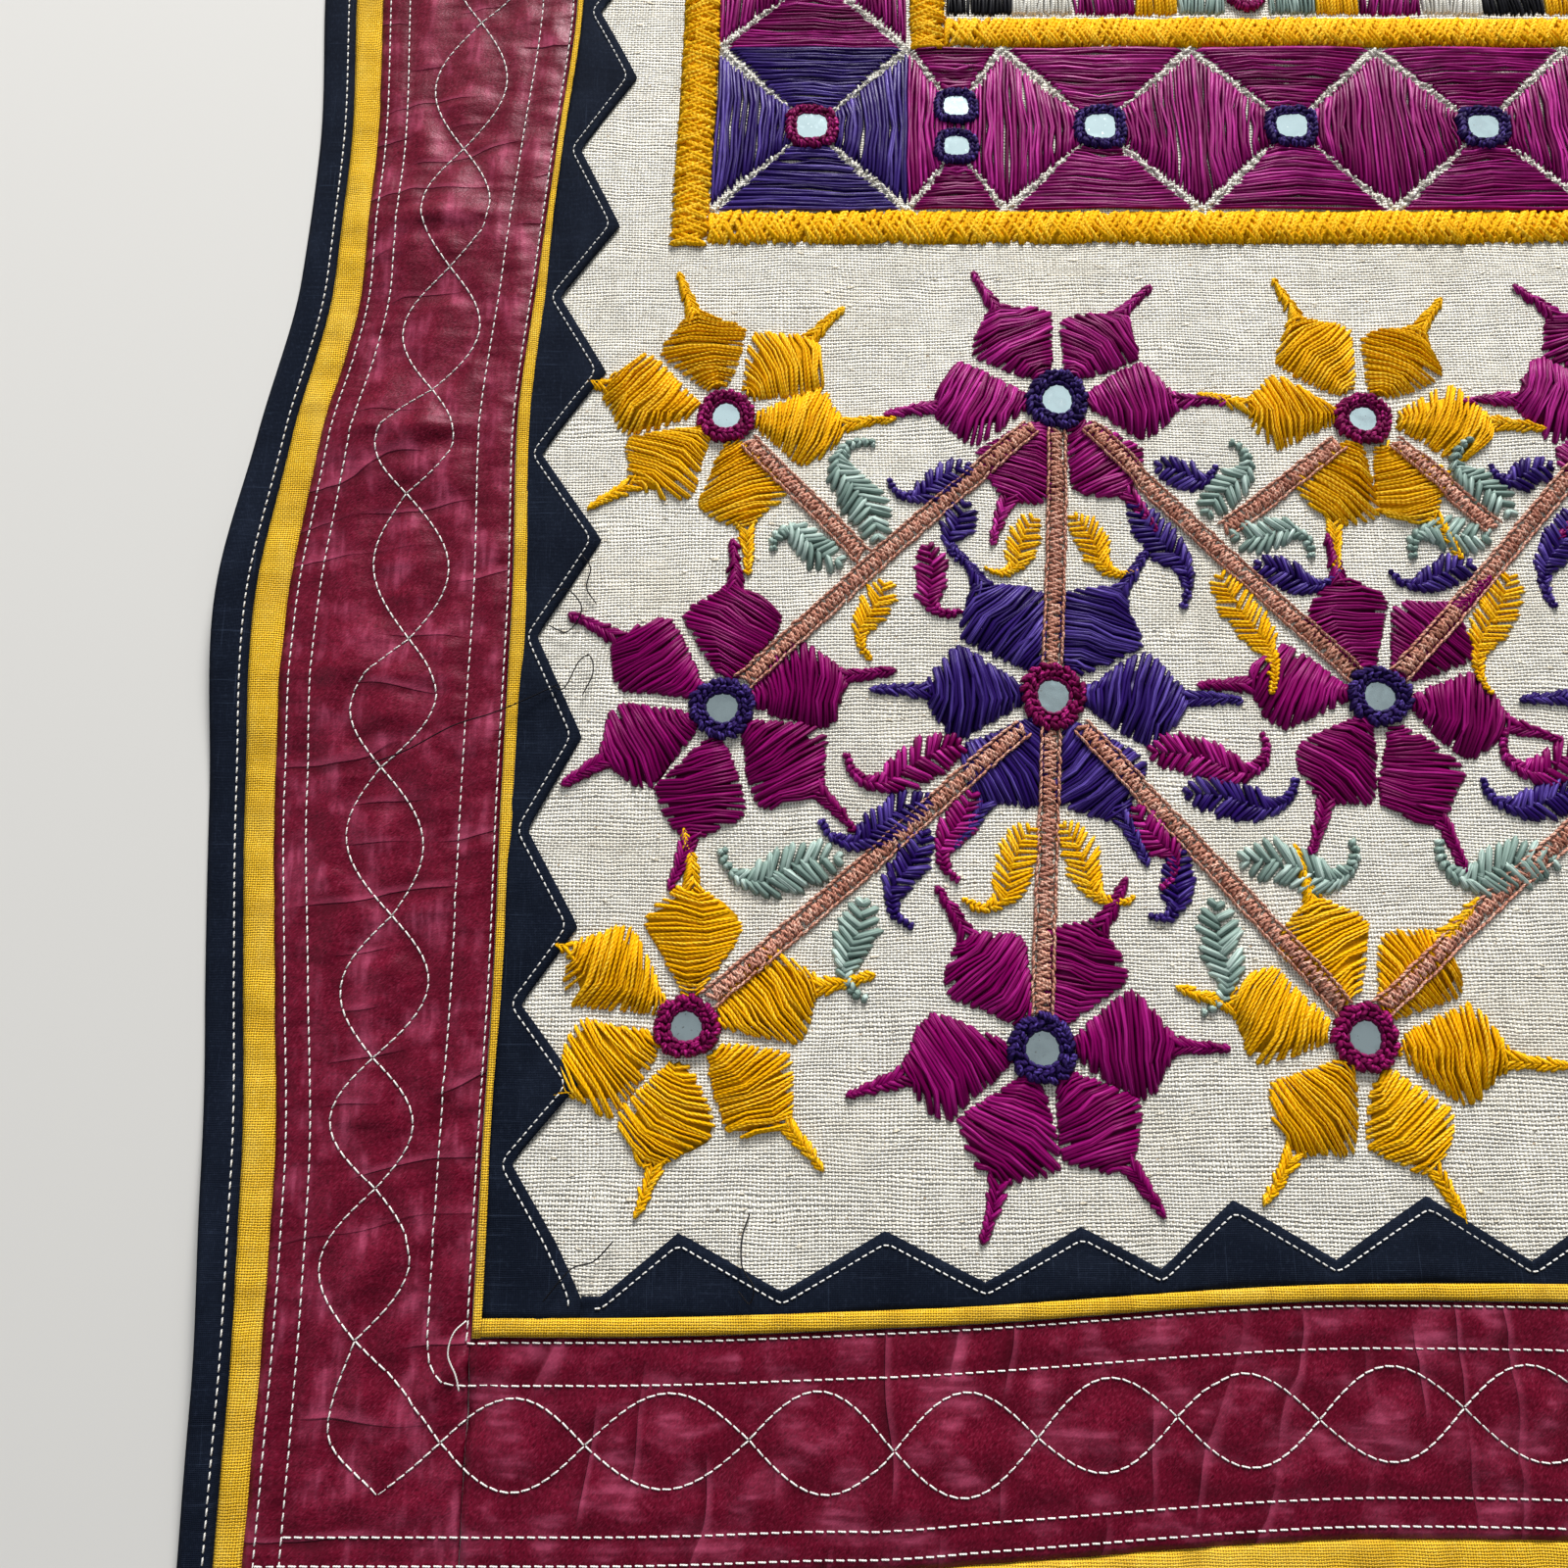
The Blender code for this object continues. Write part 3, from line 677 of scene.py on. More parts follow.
def tooth_profile(side):
    """The toothed strip's tips and valleys by turns: their places, and how far in each reaches."""
    end = CORNER_REACH if side.long else VALLEY_REACH
    last = tooth_end(side)
    places, reach = [-last, TOOTH_END - last], [end, end]
    for tooth, after in zip(side.teeth, side.teeth[1:] + (None,)):
        places.append(tooth.tip)
        reach.append(tooth.reach)
        if after:
            places.append((tooth.tip + after.tip) / 2)
            reach.append(VALLEY_REACH)
    return places + [last - TOOTH_END, last], reach + [end, end]


def tooth_reach(side, along):
    """How far the toothed strip reaches in from the piping."""
    return np.interp(along, *tooth_profile(side))


class Look:
    """One material. Its node method makes every node that isn't made by an operator."""

    def __init__(self, name, roughness=0.8, **constants):
        self.material = bpy.data.materials.new(name)
        self.material.use_nodes = True
        self.tree = self.material.node_tree
        self.shader = self.tree.nodes["Principled BSDF"]
        self.feed(self.shader.inputs["Roughness"], roughness)
        for socket, value in constants.items():
            self.shader.inputs[socket.replace("_", " ")].default_value = value

    def feed(self, socket, value):
        """Gives a socket a link or a constant."""
        if isinstance(value, Value):
            self.tree.links.new(value.socket, socket)
        elif socket.type == "RGBA":
            socket.default_value = (*value, 1.0)
        else:
            socket.default_value = value

    def node(self, kind, settings=None, inputs=None, output=0):
        """A node of a type, with its settings made first and its sockets fed after."""
        made = self.tree.nodes.new(kind)
        for name, value in (settings or {}).items():
            setattr(made, name, value)
        for name, value in (inputs or {}).items():
            self.feed(made.inputs[name], value)
        return Value(self, made.outputs[output])

    def set(self, **values):
        """Feeds the shader's sockets that may vary over a surface."""
        for socket, value in values.items():
            self.feed(self.shader.inputs[socket.replace("_", " ")], value)

    def places(self, source):
        """The first two numbers of Object or UV coordinates."""
        found = self.node("ShaderNodeTexCoord", output=source)
        apart = self.node("ShaderNodeSeparateXYZ", None, {0: found})
        sockets = apart.socket.node.outputs
        return Value(self, sockets[0]), Value(self, sockets[1])

    def attribute(self, name):
        """A number that is stored on the mesh."""
        return self.node("ShaderNodeAttribute", {"attribute_name": name}, output="Fac")

    def join(self, x, y, z=0.0):
        """A place from its coordinates."""
        return self.node("ShaderNodeCombineXYZ", None, {0: x, 1: y, 2: z})

    def noise(self, x, y, z=0.0, detail=2.0):
        """Soft noise, from about 0.25 to 0.75, with a feature for each unit of place."""
        inputs = {"Vector": self.join(x, y, z), "Scale": 1.0, "Detail": detail}
        return self.node("ShaderNodeTexNoise", None, inputs)

    def blend(self, share, first, second):
        """A colour between two others."""
        inputs = {0: share, 6: first, 7: second}
        return self.node("ShaderNodeMix", {"data_type": "RGBA"}, inputs, 2)

    def bump(self, height, distance, **under):
        """A normal from a height of 0 to 1, which stands for a distance, over another Normal."""
        inputs = {"Height": height, "Distance": distance, "Strength": 1.0, **under}
        return self.node("ShaderNodeBump", None, inputs)


def math_node(operation, reflected=False):
    """A method that adds a Math node. A reflected one puts its own value last."""
    def method(self, *others):
        given = (*others, self) if reflected else (self, *others)
        settings = {"operation": operation}
        return self.look.node("ShaderNodeMath", settings, dict(enumerate(given)))

    return method


class Value:
    """A socket, with operators that add Math nodes."""

    def __init__(self, look, socket):
        self.look = look
        self.socket = socket

    __add__ = math_node("ADD")
    __radd__ = math_node("ADD", reflected=True)
    __sub__ = math_node("SUBTRACT")
    __rsub__ = math_node("SUBTRACT", reflected=True)
    __mul__ = math_node("MULTIPLY")
    __rmul__ = math_node("MULTIPLY", reflected=True)
    __truediv__ = math_node("DIVIDE")
    __pow__ = math_node("POWER")
    sin = math_node("SINE")
    floor = math_node("FLOOR")
    absolute = math_node("ABSOLUTE")
    larger = math_node("MAXIMUM")

    def over(self, low, high):
        """0 below low, 1 above high and a soft step between."""
        inputs = {"Value": self, "From Min": low, "From Max": high}
        return self.look.node("ShaderNodeMapRange", {"interpolation_type": "SMOOTHSTEP"}, inputs)


def woven(x, y, warp_low, weft_low):
    """Rounded yarns over and under each other, one for each unit of x and y.

    warp_low and weft_low are the heights where a yarn goes under. The places across a warp yarn
    and across a weft yarn, from -1 to 1, come with the height.
    """
    column, row = x.floor(), y.floor()
    across, down = 2.0 * (x - column) - 1.0, 2.0 * (y - row) - 1.0
    warp_over = 0.5 + 0.5 * (math.pi * (y + column)).sin()
    weft_over = 0.5 - 0.5 * (math.pi * (x + row)).sin()
    warp = (1.0 - across**2.0) * (warp_low + (1.0 - warp_low) * warp_over)
    weft = (1.0 - down**2.0) * (weft_low + (1.0 - weft_low) * weft_over)
    return warp.larger(weft), across, down


def natural_cloth():
    """Undyed, slubby, hand-woven cotton with small neps and flecks, with painted shade in its yarns' low
    places and in the open holes of its weave.
    """
    clean, hollow_shade, hole_shade = (0.955, 0.93, 0.855), (0.57, 0.53, 0.44), (0.16, 0.14, 0.105)
    aged, stained = (0.66, 0.59, 0.46), (0.74, 0.67, 0.54)
    husk, seed_coat = (0.74, 0.64, 0.47), (0.34, 0.22, 0.11)
    look = Look("undyed_slub_cotton", roughness=0.95, Specular_IOR_Level=0.05)
    x, y = (value / MM for value in look.places("Object"))
    wander = look.noise(x / 28.0, y / 95.0) - 0.5
    drift = look.noise(x / 95.0 + 40.0, y / 24.0) - 0.5
    waver = look.noise(x / 13.0, y / 11.0, 5.0, detail=1.0) - 0.5
    u = (x + 8.0 * wander + 1.1 * waver) / WARP_PITCH
    v = (y + 8.0 * drift - 1.1 * waver) / WEFT_PITCH
    height, across, down = woven(u, v, 0.4, 0.45)
    open_part = across.absolute().over(0.45, 0.8) * down.absolute().over(0.5, 0.8)
    weft_slub = look.noise(x / 11.0, v.floor() * 3.7, 2.0, detail=1.0).over(0.45, 0.66)
    warp_slub = look.noise(u.floor() * 3.1, y / 13.0, 7.0, detail=1.0).over(0.5, 0.68)
    tone = look.noise(x / 8.0 + u.floor() * 2.3, v.floor() * 5.3, 9.0, detail=1.0).over(0.42, 0.7)
    close = look.noise(x / 7.5, y / 6.5, 29.0).over(0.42, 0.62)
    fibre = look.noise(x / 0.36, y / 0.3)
    cloud = look.noise(x / 55.0, y / 40.0, 3.0, detail=3.0)
    lump = look.noise(x / 2.6, y / 2.2, 17.0, detail=1.0)
    nep = look.noise(x / 4.2, y / 2.3, 11.0, detail=1.0).over(0.68, 0.8)
    fleck = look.noise(x / 1.5, y / 1.0, 23.0, detail=0.0).over(0.79, 0.83)
    slub = weft_slub.larger(warp_slub * 0.8)
    tall = height * (0.55 + 0.65 * slub) + 0.2 * fibre + 0.4 * lump + 0.8 * nep
    look.set(Normal=look.bump(tall, 0.0009))
    # Painted shade: the yarns darken in their low places, and the weave's open holes are painted dark.
    hole = open_part * (1.2 - 0.85 * slub) * lump.over(0.15, 0.5) * (1.0 - 0.6 * close)
    base = look.blend((height + 0.3 * fibre).over(0.35, 1.05), hollow_shade, clean)
    for share, colour in (
        (tone * 0.3, aged),
        (hole.over(0.12, 0.85), hole_shade),
        (cloud.over(0.45, 0.75) * 0.35, stained),
        (nep * 0.6, husk),
        (fleck * 0.7, seed_coat),
    ):
        base = look.blend(share, base, colour)
    look.set(Base_Color=base)
    return look.material


def dyed_weave(name, base, dark, light, pitch, depth, roughness, fleck=None, gap=(0.1, 0.8)):
    """A plain-woven cotton of one dye, which reads its strip's own pattern places."""
    look = Look(name, roughness=roughness, Specular_IOR_Level=0.06)
    along, out = look.places("UV")
    wander = look.noise(along / 14.0, out / 9.0, detail=3.0) - 0.5
    height, _, _ = woven((along + wander) / pitch, (out + wander) / pitch, 0.35, 0.35)
    fibre = look.noise(along / 0.3, out / 0.3, detail=2.0)
    cloud = look.noise(along / 26.0, out / 9.0, 5.0, detail=3.0)
    shaded = look.noise(along / 10.0, out / 45.0, 7.0, detail=3.0).over(0.47, 0.63)
    streak = look.noise(along / 0.6, out / 22.0, 9.0, detail=1.0)
    look.set(Normal=look.bump(height + 0.3 * fibre + 0.5 * streak, depth))
    # Painted shade: the weave's low places, between the yarns, darken towards the dark colour over the
    # gap range.
    colour = look.blend((height * 0.8 + 0.3 * fibre).over(*gap), dark, base)
    grain = look.noise(along / 1.1, out / 1.1, 19.0, detail=2.0)
    colour = look.blend(cloud.over(0.4, 0.8) * 0.3 + grain.over(0.5, 0.75) * 0.4, colour, light)
    # Painted shade: broad darker bands, as if shaded by soft folds.
    colour = look.blend(shaded * 0.22, colour, dark)
    if fleck:
        colour = look.blend(streak.over(0.62, 0.8) * 0.25, colour, fleck)
        thread = look.noise(along / 20.0, out / 0.55, 13.0, detail=1.0)
        colour = look.blend(thread.over(0.64, 0.8) * 0.22, colour, fleck)
    look.set(Base_Color=colour)
    return look.material


def satin_cloth():
    """Maroon satin with a slanted grain, painted sheen in patches and streaks with painted shade between
    them, and pressed creases with a painted shadow and highlight.
    """
    dark, base, light = (0.047, 0.0003, 0.0045), (0.150, 0.0028, 0.019), (0.53, 0.09, 0.185)
    look = Look("maroon_satin", Specular_IOR_Level=0.27, Specular_Tint=(1.0, 0.42, 0.6, 1.0))
    along, out = look.places("UV")
    pucker = look.attribute("pucker")
    grain = look.noise((along + out) / 0.6, (out - along) / 1.9, detail=2.0)
    fibre = look.noise(along / 0.5, out / 1.2, 3.0, detail=2.0)
    sheen_patch = look.noise(along / 14.0, out / 11.0, 4.0, detail=4.0)
    sheen_streak = look.noise((along + 0.25 * out) / 13.0, out / 2.2, 12.0, detail=2.0)
    slant = look.noise((along + 0.3 * out) / 8.0, (out - 0.4 * along) / 19.0, 8.0, detail=1.0)
    draw = look.noise(along / 4.4, out / 13.0, 15.0, detail=1.0)
    run = along / 15.0 + 0.009 * out + 2.4 * look.noise(along / 48.0, out / 95.0, 27.0, detail=2.0)
    share = run - run.floor()
    strong = look.noise(run.floor() * 7.31, out / 30.0, 41.0, detail=0.0).over(0.46, 0.66)
    # Each strong crease gets a painted shadow, then a painted highlight on its ridge.
    shadow = strong * share.over(0.22, 0.5) * (1.0 - share.over(0.5, 0.53))
    ridge_highlight = strong * share.over(0.5, 0.53) * (1.0 - share.over(0.55, 0.7))
    height = 0.9 * slant + 0.4 * draw * (0.25 + pucker) - 0.3 * shadow
    fine = look.bump(0.5 * grain + 0.4 * fibre, 0.0002)
    look.set(Normal=look.bump(height, 0.0016, Normal=fine))
    colour = look.blend((0.55 * grain + 0.5 * fibre).over(0.3, 0.62), dark, base)
    # Painted sheen: bright patches and streaks, with painted shade between the patches.
    painted_sheen = sheen_patch.over(0.46, 0.72) * (0.2 + 0.42 * sheen_streak.over(0.4, 0.66))
    colour = look.blend(painted_sheen + 0.16 * grain.over(0.52, 0.75) + 0.3 * ridge_highlight, colour, light)
    colour = look.blend((1.0 - sheen_patch).over(0.48, 0.74) * 0.4 + 0.5 * shadow, colour, dark)
    # Painted shade: darker near the stitched lines, where the puckers are.
    colour = look.blend(pucker * 0.35, colour, dark)
    look.set(Base_Color=colour, Roughness=0.36 + 0.16 * grain)
    return look.material


def thread_look(thread):
    """Embroidery thread. A twist makes it plied cotton, and none makes it loose silky floss."""
    tint = tuple(0.25 + 0.75 * channel for channel in thread.light)
    look = Look(thread.name, Specular_IOR_Level=thread.gloss, Specular_Tint=(*tint, 1.0))
    along, around = look.places("UV")
    shade = look.attribute("shade")
    if thread.twist:
        ply = 0.5 + 0.5 * (math.tau * (along / thread.twist + 2.0 * around)).sin()
        fuzz = look.noise(along / 0.6, around * 6.0, shade * 50.0, detail=3.0)
        height, depth = 0.6 * ply + 0.5 * fuzz, 0.00012
        tone, rough = ply * 0.2 + 0.8 * fuzz, 0.85
    else:
        strand = look.noise(along / 14.0, around * 9.0, shade * 50.0)
        turn = look.noise(along / 5.0, around * 2.0, shade * 90.0)
        height, depth = strand + 0.5 * turn, 0.00024
        tone, rough = strand * 0.8 + 0.35 * turn, 0.5
    look.set(Normal=look.bump(height, depth))
    # The ply and strand tone is partly the yarn's own fibres, partly painted shade in the grooves and
    # painted highlights on the tops.
    colour = look.blend(tone.over(0.2, 0.72), thread.dark, thread.base)
    colour = look.blend(shade.over(0.35, 1.0) * tone.over(0.4, 0.8), colour, thread.light)
    colour = look.blend((1.0 - shade).over(0.6, 1.0) * 0.5, colour, thread.dark)
    look.set(Base_Color=colour, Roughness=rough - 0.2 * tone)
    return look.material


def glass_look():
    """Thin hand-silvered glass, a little clouded and specked."""
    look = Look("silvered_glass", Metallic=0.95)
    x, y = (value / MM for value in look.places("Object"))
    cloud = look.noise(x / 6.0, y / 6.0, detail=4.0)
    speck = look.noise(x / 1.1, y / 1.1, 5.0, detail=1.0).over(0.68, 0.74)
    colour = look.blend(cloud.over(0.45, 0.8), (0.80, 0.97, 1.0), (0.56, 0.68, 0.72))
    colour = look.blend(speck * 0.7, colour, (0.20, 0.19, 0.18))
    look.set(Base_Color=colour, Roughness=0.12 + 0.2 * cloud.over(0.5, 0.85) + 0.2 * speck)
    look.set(Normal=look.bump(look.noise(x / 9.0, y / 9.0, 2.0), 0.00012))
    return look.material


def read(items, name, width=1):
    """One property of all the items of a mesh, as an array."""
    values = np.zeros(len(items) * width, np.int32 if name == "vertex_index" else np.float32)
    items.foreach_get(name, values)
    return values.reshape(-1, width) if width > 1 else values


def keep(name, mesh, finish):
    """The mesh as a finished object, smooth and with its material."""
    mesh.polygons.foreach_set("use_smooth", np.ones(len(mesh.polygons), bool))
    mesh.materials.append(finish)
    made = bpy.data.objects.new(name, mesh)
    bpy.context.scene.collection.objects.link(made)
    return made


def store(mesh, name, values):
    """Puts a number on every vertex of a mesh."""
    mesh.attributes.new(name, "FLOAT", "POINT").data.foreach_set("value", values.astype(np.float32))


def cloth(name, columns, rows, shape, thick, finish):
    """A sheet from a grid. shape gives places, pattern places and puckers for shares u and v."""
    bm = bmesh.new()
    bmesh.ops.create_grid(bm, x_segments=columns, y_segments=rows, size=0.5)
    mesh = bpy.data.meshes.new(name)
    bm.to_mesh(mesh)
    bm.free()
    share = read(mesh.vertices, "co", 3)[:, :2] + 0.5
    share = np.clip(share.astype(float), 0, 1)
    places, pattern, pucker = shape(share[:, 0], share[:, 1])
    mesh.vertices.foreach_set("co", (places * MM).astype(np.float32).ravel())
    corner = read(mesh.loops, "vertex_index")
    layer = mesh.uv_layers.new(name="pattern")
    layer.data.foreach_set("uv", pattern[corner].astype(np.float32).ravel())
    store(mesh, "pucker", pucker)
    mesh.update()
    if sum(face.normal.z for face in mesh.polygons) < 0:
        mesh.flip_normals()
    made = keep(name, mesh, finish)
    body = made.modifiers.new("cloth", "SOLIDIFY")
    body.thickness = thick * MM
    body.offset = -1.0
    return made


class Yarn:
    """Threads laid on the cloth, gathered into one mesh of pointed three-sided strands."""

    def __init__(self):
        self.points = []
        self.shades = []
        self.sides = []
        self.tips = []
        self.side_places = []
        self.tip_places = []
        self.count = 0

    def lay(self, path, half_width, half_height, shade):
        """path has each thread's points from tip to tip, as threads by points by three."""
        number, length = path.shape[:2]
        rings = length - 2
        way = np.gradient(path, axis=1)
        aside = np.stack([-way[..., 1], way[..., 0], np.zeros((number, length))], axis=-1)
        aside /= np.maximum(np.linalg.norm(aside, axis=-1, keepdims=True), 1e-9)
        wide = np.broadcast_to(half_width, (number, length))[..., None]
        tall = np.broadcast_to(half_height, (number, length))[..., None] * np.array([0, 0, 1.0])
        # Each thread has three-sided rings between two pointed tips.
        corners = [path + aside * wide - tall * 0.6, path - aside * wide - tall * 0.6, path + tall]
        middle = np.stack(corners, axis=2)[:, 1:-1].reshape(number, rings * 3, 3)
        self.points.append(np.concatenate([path[:, :1], middle, path[:, -1:]], axis=1).reshape(-1, 3))
        each = rings * 3 + 2
        self.shades.append(np.repeat(np.broadcast_to(shade, number), each))
        base = self.count + np.arange(number) * each
        self.count += number * each
        step = np.linalg.norm(np.diff(path, axis=1), axis=-1)
        run = np.concatenate([np.zeros((number, 1)), np.cumsum(step, axis=1)], axis=1)
        for j in range(3):
            after_j = (j + 1) % 3
            this, after = j / 3, (j + 1) / 3
            for i in range(rings - 1):
                here, there = base + 1 + 3 * i, base + 4 + 3 * i
                face = [here + j, there + j, there + after_j, here + after_j]
                self.sides.append(np.stack(face, axis=1))
                low, high = run[:, i + 1], run[:, i + 2]
                corners = ((low, this), (high, this), (high, after), (low, after))
                self.side_places.append(self.around(*corners))
            first, last = base + 1, base + each - 4
            self.tips.append(np.stack([base, first + j, first + after_j], axis=1))
            self.tip_places.append(self.around((run[:, 0], this), (run[:, 1], this), (run[:, 1], after)))
            self.tips.append(np.stack([last + j, base + each - 1, last + after_j], axis=1))
            end = run[:, -2]
            self.tip_places.append(self.around((end, this), (run[:, -1], this), (end, after)))

    @staticmethod
    def around(*corners):
        """The pattern places of a face's corners."""
        pairs = [np.stack([run, np.full(len(run), turn)], axis=1) for run, turn in corners]
        return np.stack(pairs, axis=1).reshape(-1, 2)

    def made(self, name, finish, slot):
        """The joined mesh, riding on the hanging."""
        mesh = bpy.data.meshes.new(name)
        points = np.concatenate(self.points) * MM
        sides = np.concatenate(self.sides).tolist() if self.sides else []
        mesh.from_pydata(points.tolist(), [], sides + np.concatenate(self.tips).tolist())
        layer = mesh.uv_layers.new(name="pattern")
        pattern = np.concatenate(self.side_places + self.tip_places)
        layer.data.foreach_set("uv", pattern.astype(np.float32).ravel())
        store(mesh, "shade", np.concatenate(self.shades))
        settle(keep(name, mesh, finish), slot)


def settle(piece, slot, *nodes):
    """Rides a piece on the hanging and hides the solids that it stands for. slot, its finish's name, is
    not used.
    """
    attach(piece, "root")
    if nodes:
        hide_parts(*nodes)


def length_of(line):
    """The distance along a line of places."""
    return float(np.linalg.norm(np.diff(line, axis=0), axis=1).sum())


def resampled(line, count):
    """The same line with a number of evenly spaced places."""
    step = np.linalg.norm(np.diff(line, axis=0), axis=1)
    run = np.concatenate([[0], np.cumsum(step)])
    at = np.linspace(0, run[-1], count)
    return np.stack([np.interp(at, run, line[:, i]) for i in range(line.shape[1])], axis=1)


def parallel_line(side, reach, line, offset):
    """A line along a side, from -reach to reach, at an even distance outside one of its lines."""
    along = np.linspace(-reach, reach, max(int(2 * reach / 1.5), 2))
    return np.stack(place(side, along, out_of(side, line, along) + offset), axis=1)


def bent(first, corner, last):
    """A soft bend between two lines' ends, drawn towards a corner."""
    t = np.linspace(0, 1, 14)[:, None]
    return (1 - t) ** 2 * first + 2 * t * (1 - t) * corner + t**2 * last


def through(points):
    """A smooth line through a few places."""
    rows = np.array(points, float)
    ends = np.concatenate([[2 * rows[0] - rows[1]], rows, [2 * rows[-1] - rows[-2]]])
    t = np.linspace(0, 1, 14, endpoint=False)[:, None]
    parts = []
    for a, b, c, d in zip(ends, ends[1:], ends[2:], ends[3:]):
        parts.append(0.5 * (
            2 * b + (c - a) * t + (2 * a - 5 * b + 4 * c - d) * t**2 + (3 * b - a - 3 * c + d) * t**3
        ))
    return np.concatenate(parts + [rows[-1:]])


def turned(line):
    """The same line on the opposite side, half round."""
    return -line


def twist_lines(side, seed):
    """The two crossing lines of a side's quilted twist, one arc for each lens and line."""
    roll = np.random.default_rng(seed)
    lines = []
    for start, end in zip(side.crossings, side.crossings[1:]):
        along = np.linspace(start.along, end.along, 30)
        t = (along - start.along) / (end.along - start.along)
        middle = start.inset + (end.inset - start.inset) * t
        for way in (1, -1):
            reach = way * (TWIST_REACH + roll.uniform(-1.2, 1.0))
            out = out_of(side, "inner", along) + middle + reach * np.sin(math.pi * t)
            lines.append(np.stack(place(side, along, out), axis=1))
    return lines


def crossing_place(side, crossing):
    """Where the twist's two lines cross."""
    out = out_of(side, "inner", crossing.along) + crossing.inset
    return np.array(place(side, crossing.along, out))


def corner_lines(side_end, end_start, flip):
    """How the twist turns a corner: out to a point and back, and straight across.

    side_end and end_start are the last crossings of the long and the short side. flip is -1
    where the corner is the mirror image of the photographed one.
    """
    def off(x, y):
        return end_start + np.array([x, flip * y])

    tip = off(-15.0, -12.0)
    outer = through([side_end, off(-28.5, 9.0), off(-27.5, -1.0), tip])
    back = through([tip, off(-7.0, -6.0), end_start])
    inner = through([side_end, off(-11.0, 13.0), end_start])
    return [outer, back, inner]


def border_lines():
    """All the white machine-stitched lines of the quilted border, on one end and one side."""
    x, y = at_corner(LEFT, "inner"), at_corner(BOTTOM, "inner")
    lines = []
    for side, beside, seed in ((LEFT, y, 21), (BOTTOM, x, 22)):
        for inset in OUTER_LINES:
            reach = CORNER_OUT - LINE_END if side.long else at_corner(LEFT, "quilted") - inset
            lines.append(parallel_line(side, reach, "quilted", -inset))
        for inset in INNER_LINES:
            bend = LINE_CORNER if inset == INNER_LINES[0] else 0.0
            lines.append(parallel_line(side, beside + inset - bend, "inner", inset))
        lines += twist_lines(side, seed)
    third = INNER_LINES[0]
    for flip in (1, -1):
        corner = np.array([-x - third, (-y - third) * flip])
        lines.append(bent(corner + [0, LINE_CORNER * flip], corner, corner + [LINE_CORNER, 0]))
    for flip, end, crossing in ((1, BOTTOM, 0), (-1, TOP, -1)):
        side_end = crossing_place(LEFT, LEFT.crossings[crossing])
        lines += corner_lines(side_end, crossing_place(end, end.crossings[crossing]), flip)
    return lines


def quilted_top(x, y, near):
    """The height of the quilted strips' upper face, low at the stitched lines."""
    puff = PUFF_RISE * (1 - np.exp(-near / PUFF_LENGTH)) ** 1.2
    soft = 0.5 * ripples(x, y, 21, 31) + 0.26 * ripples(x * 0.6, y * 1.5, 11, 32)
    soft = soft * (1 - np.exp(-near / 3.0))
    return lie(x, y) + QUILTED_THICK + puff + soft + raised(CREASES, x, y) + raised(CREASES, -x, -y)


def nearest(tree, x, y):
    """The distance from each place to the nearest stitched line."""
    return np.array([tree.find((a, b, 0.0))[2] for a, b in zip(x, y)])


def tree_of(lines):
    """A search tree over all the places of the stitched lines."""
    places = np.concatenate([resampled(line, max(int(length_of(line) / 1.1), 2)) for line in lines])
    tree = KDTree(len(places))
    for number, (x, y) in enumerate(places):
        tree.insert((x, y, 0.0), number)
    tree.balance()
    return tree


def stacked(x, y, z):
    """Places from the three coordinates of each."""
    return np.stack([x, y, z], axis=1)


def laid(ground, at, rise):
    """Places on the ground, and raised over it."""
    return np.column_stack([at, ground(at[:, 0], at[:, 1]) + rise])


def lifted(ground, parts):
    """The paths of many threads over the ground, from the places and the rise of each point."""
    return np.stack([laid(ground, at, rise) for at, rise in parts], axis=1)


def make_field(finish):
    """The embroidered panel, a thin sheet that runs under the strips to the border's seam."""
    half_wide, half_long = LONG_EDGES[0].inner, SHORT_EDGES[0].inner

    def shape(u, v):
        y = (2 * v - 1) * half_long
        # The edges wander, so x and y depend on each other and are found by turns.
        for _ in range(3):
            left = GAP - out_of(LEFT, "inner", y)
            right = out_of(RIGHT, "inner", -y) - GAP
            x = left + (right - left) * u
            low = GAP - out_of(BOTTOM, "inner", x)
            high = out_of(TOP, "inner", -x) - GAP
            y = low + (high - low) * v
        return stacked(x, y, field_top(x, y)), np.stack([x, y], axis=1), np.zeros_like(u)

    piece = cloth("embroidered_panel", PANEL_COLUMNS, PANEL_ROWS, shape, PANEL_SHEET, finish)
    settle(piece, "undyed_cotton", "field_cloth")


def even(low, high, step):
    """Places from low to high, about a step apart."""
    return np.linspace(low, high, int((high - low) / step) + 1)


def side_strip(side, kind, finishes, stations, edges, top):
    """One cloth strip of a side, with a row of its grid at each station.

    edges gives the outer and the inner edge at places along the side. top gives how high the
    upper face is at a spot, and how puckered.
    """
    rows = len(stations) - 1

    def shape(u, v):
        along = np.interp(v * rows, np.arange(rows + 1), stations)
        outer, inner = edges(along)
        out = inner + (outer - inner) * u
        x, y = place(side, along, out)
        height, pucker = top(Spot(u, along, out, outer, inner, x, y))
        return stacked(x, y, height), np.stack([along, out], axis=1), pucker + np.zeros_like(u)

    finish = finishes[kind.slot]
    piece = cloth(f"{kind.name}_{side.name}", kind.columns, rows, shape, kind.thick, finish)
    settle(piece, kind.slot, f"{kind.node}_{side.name}")


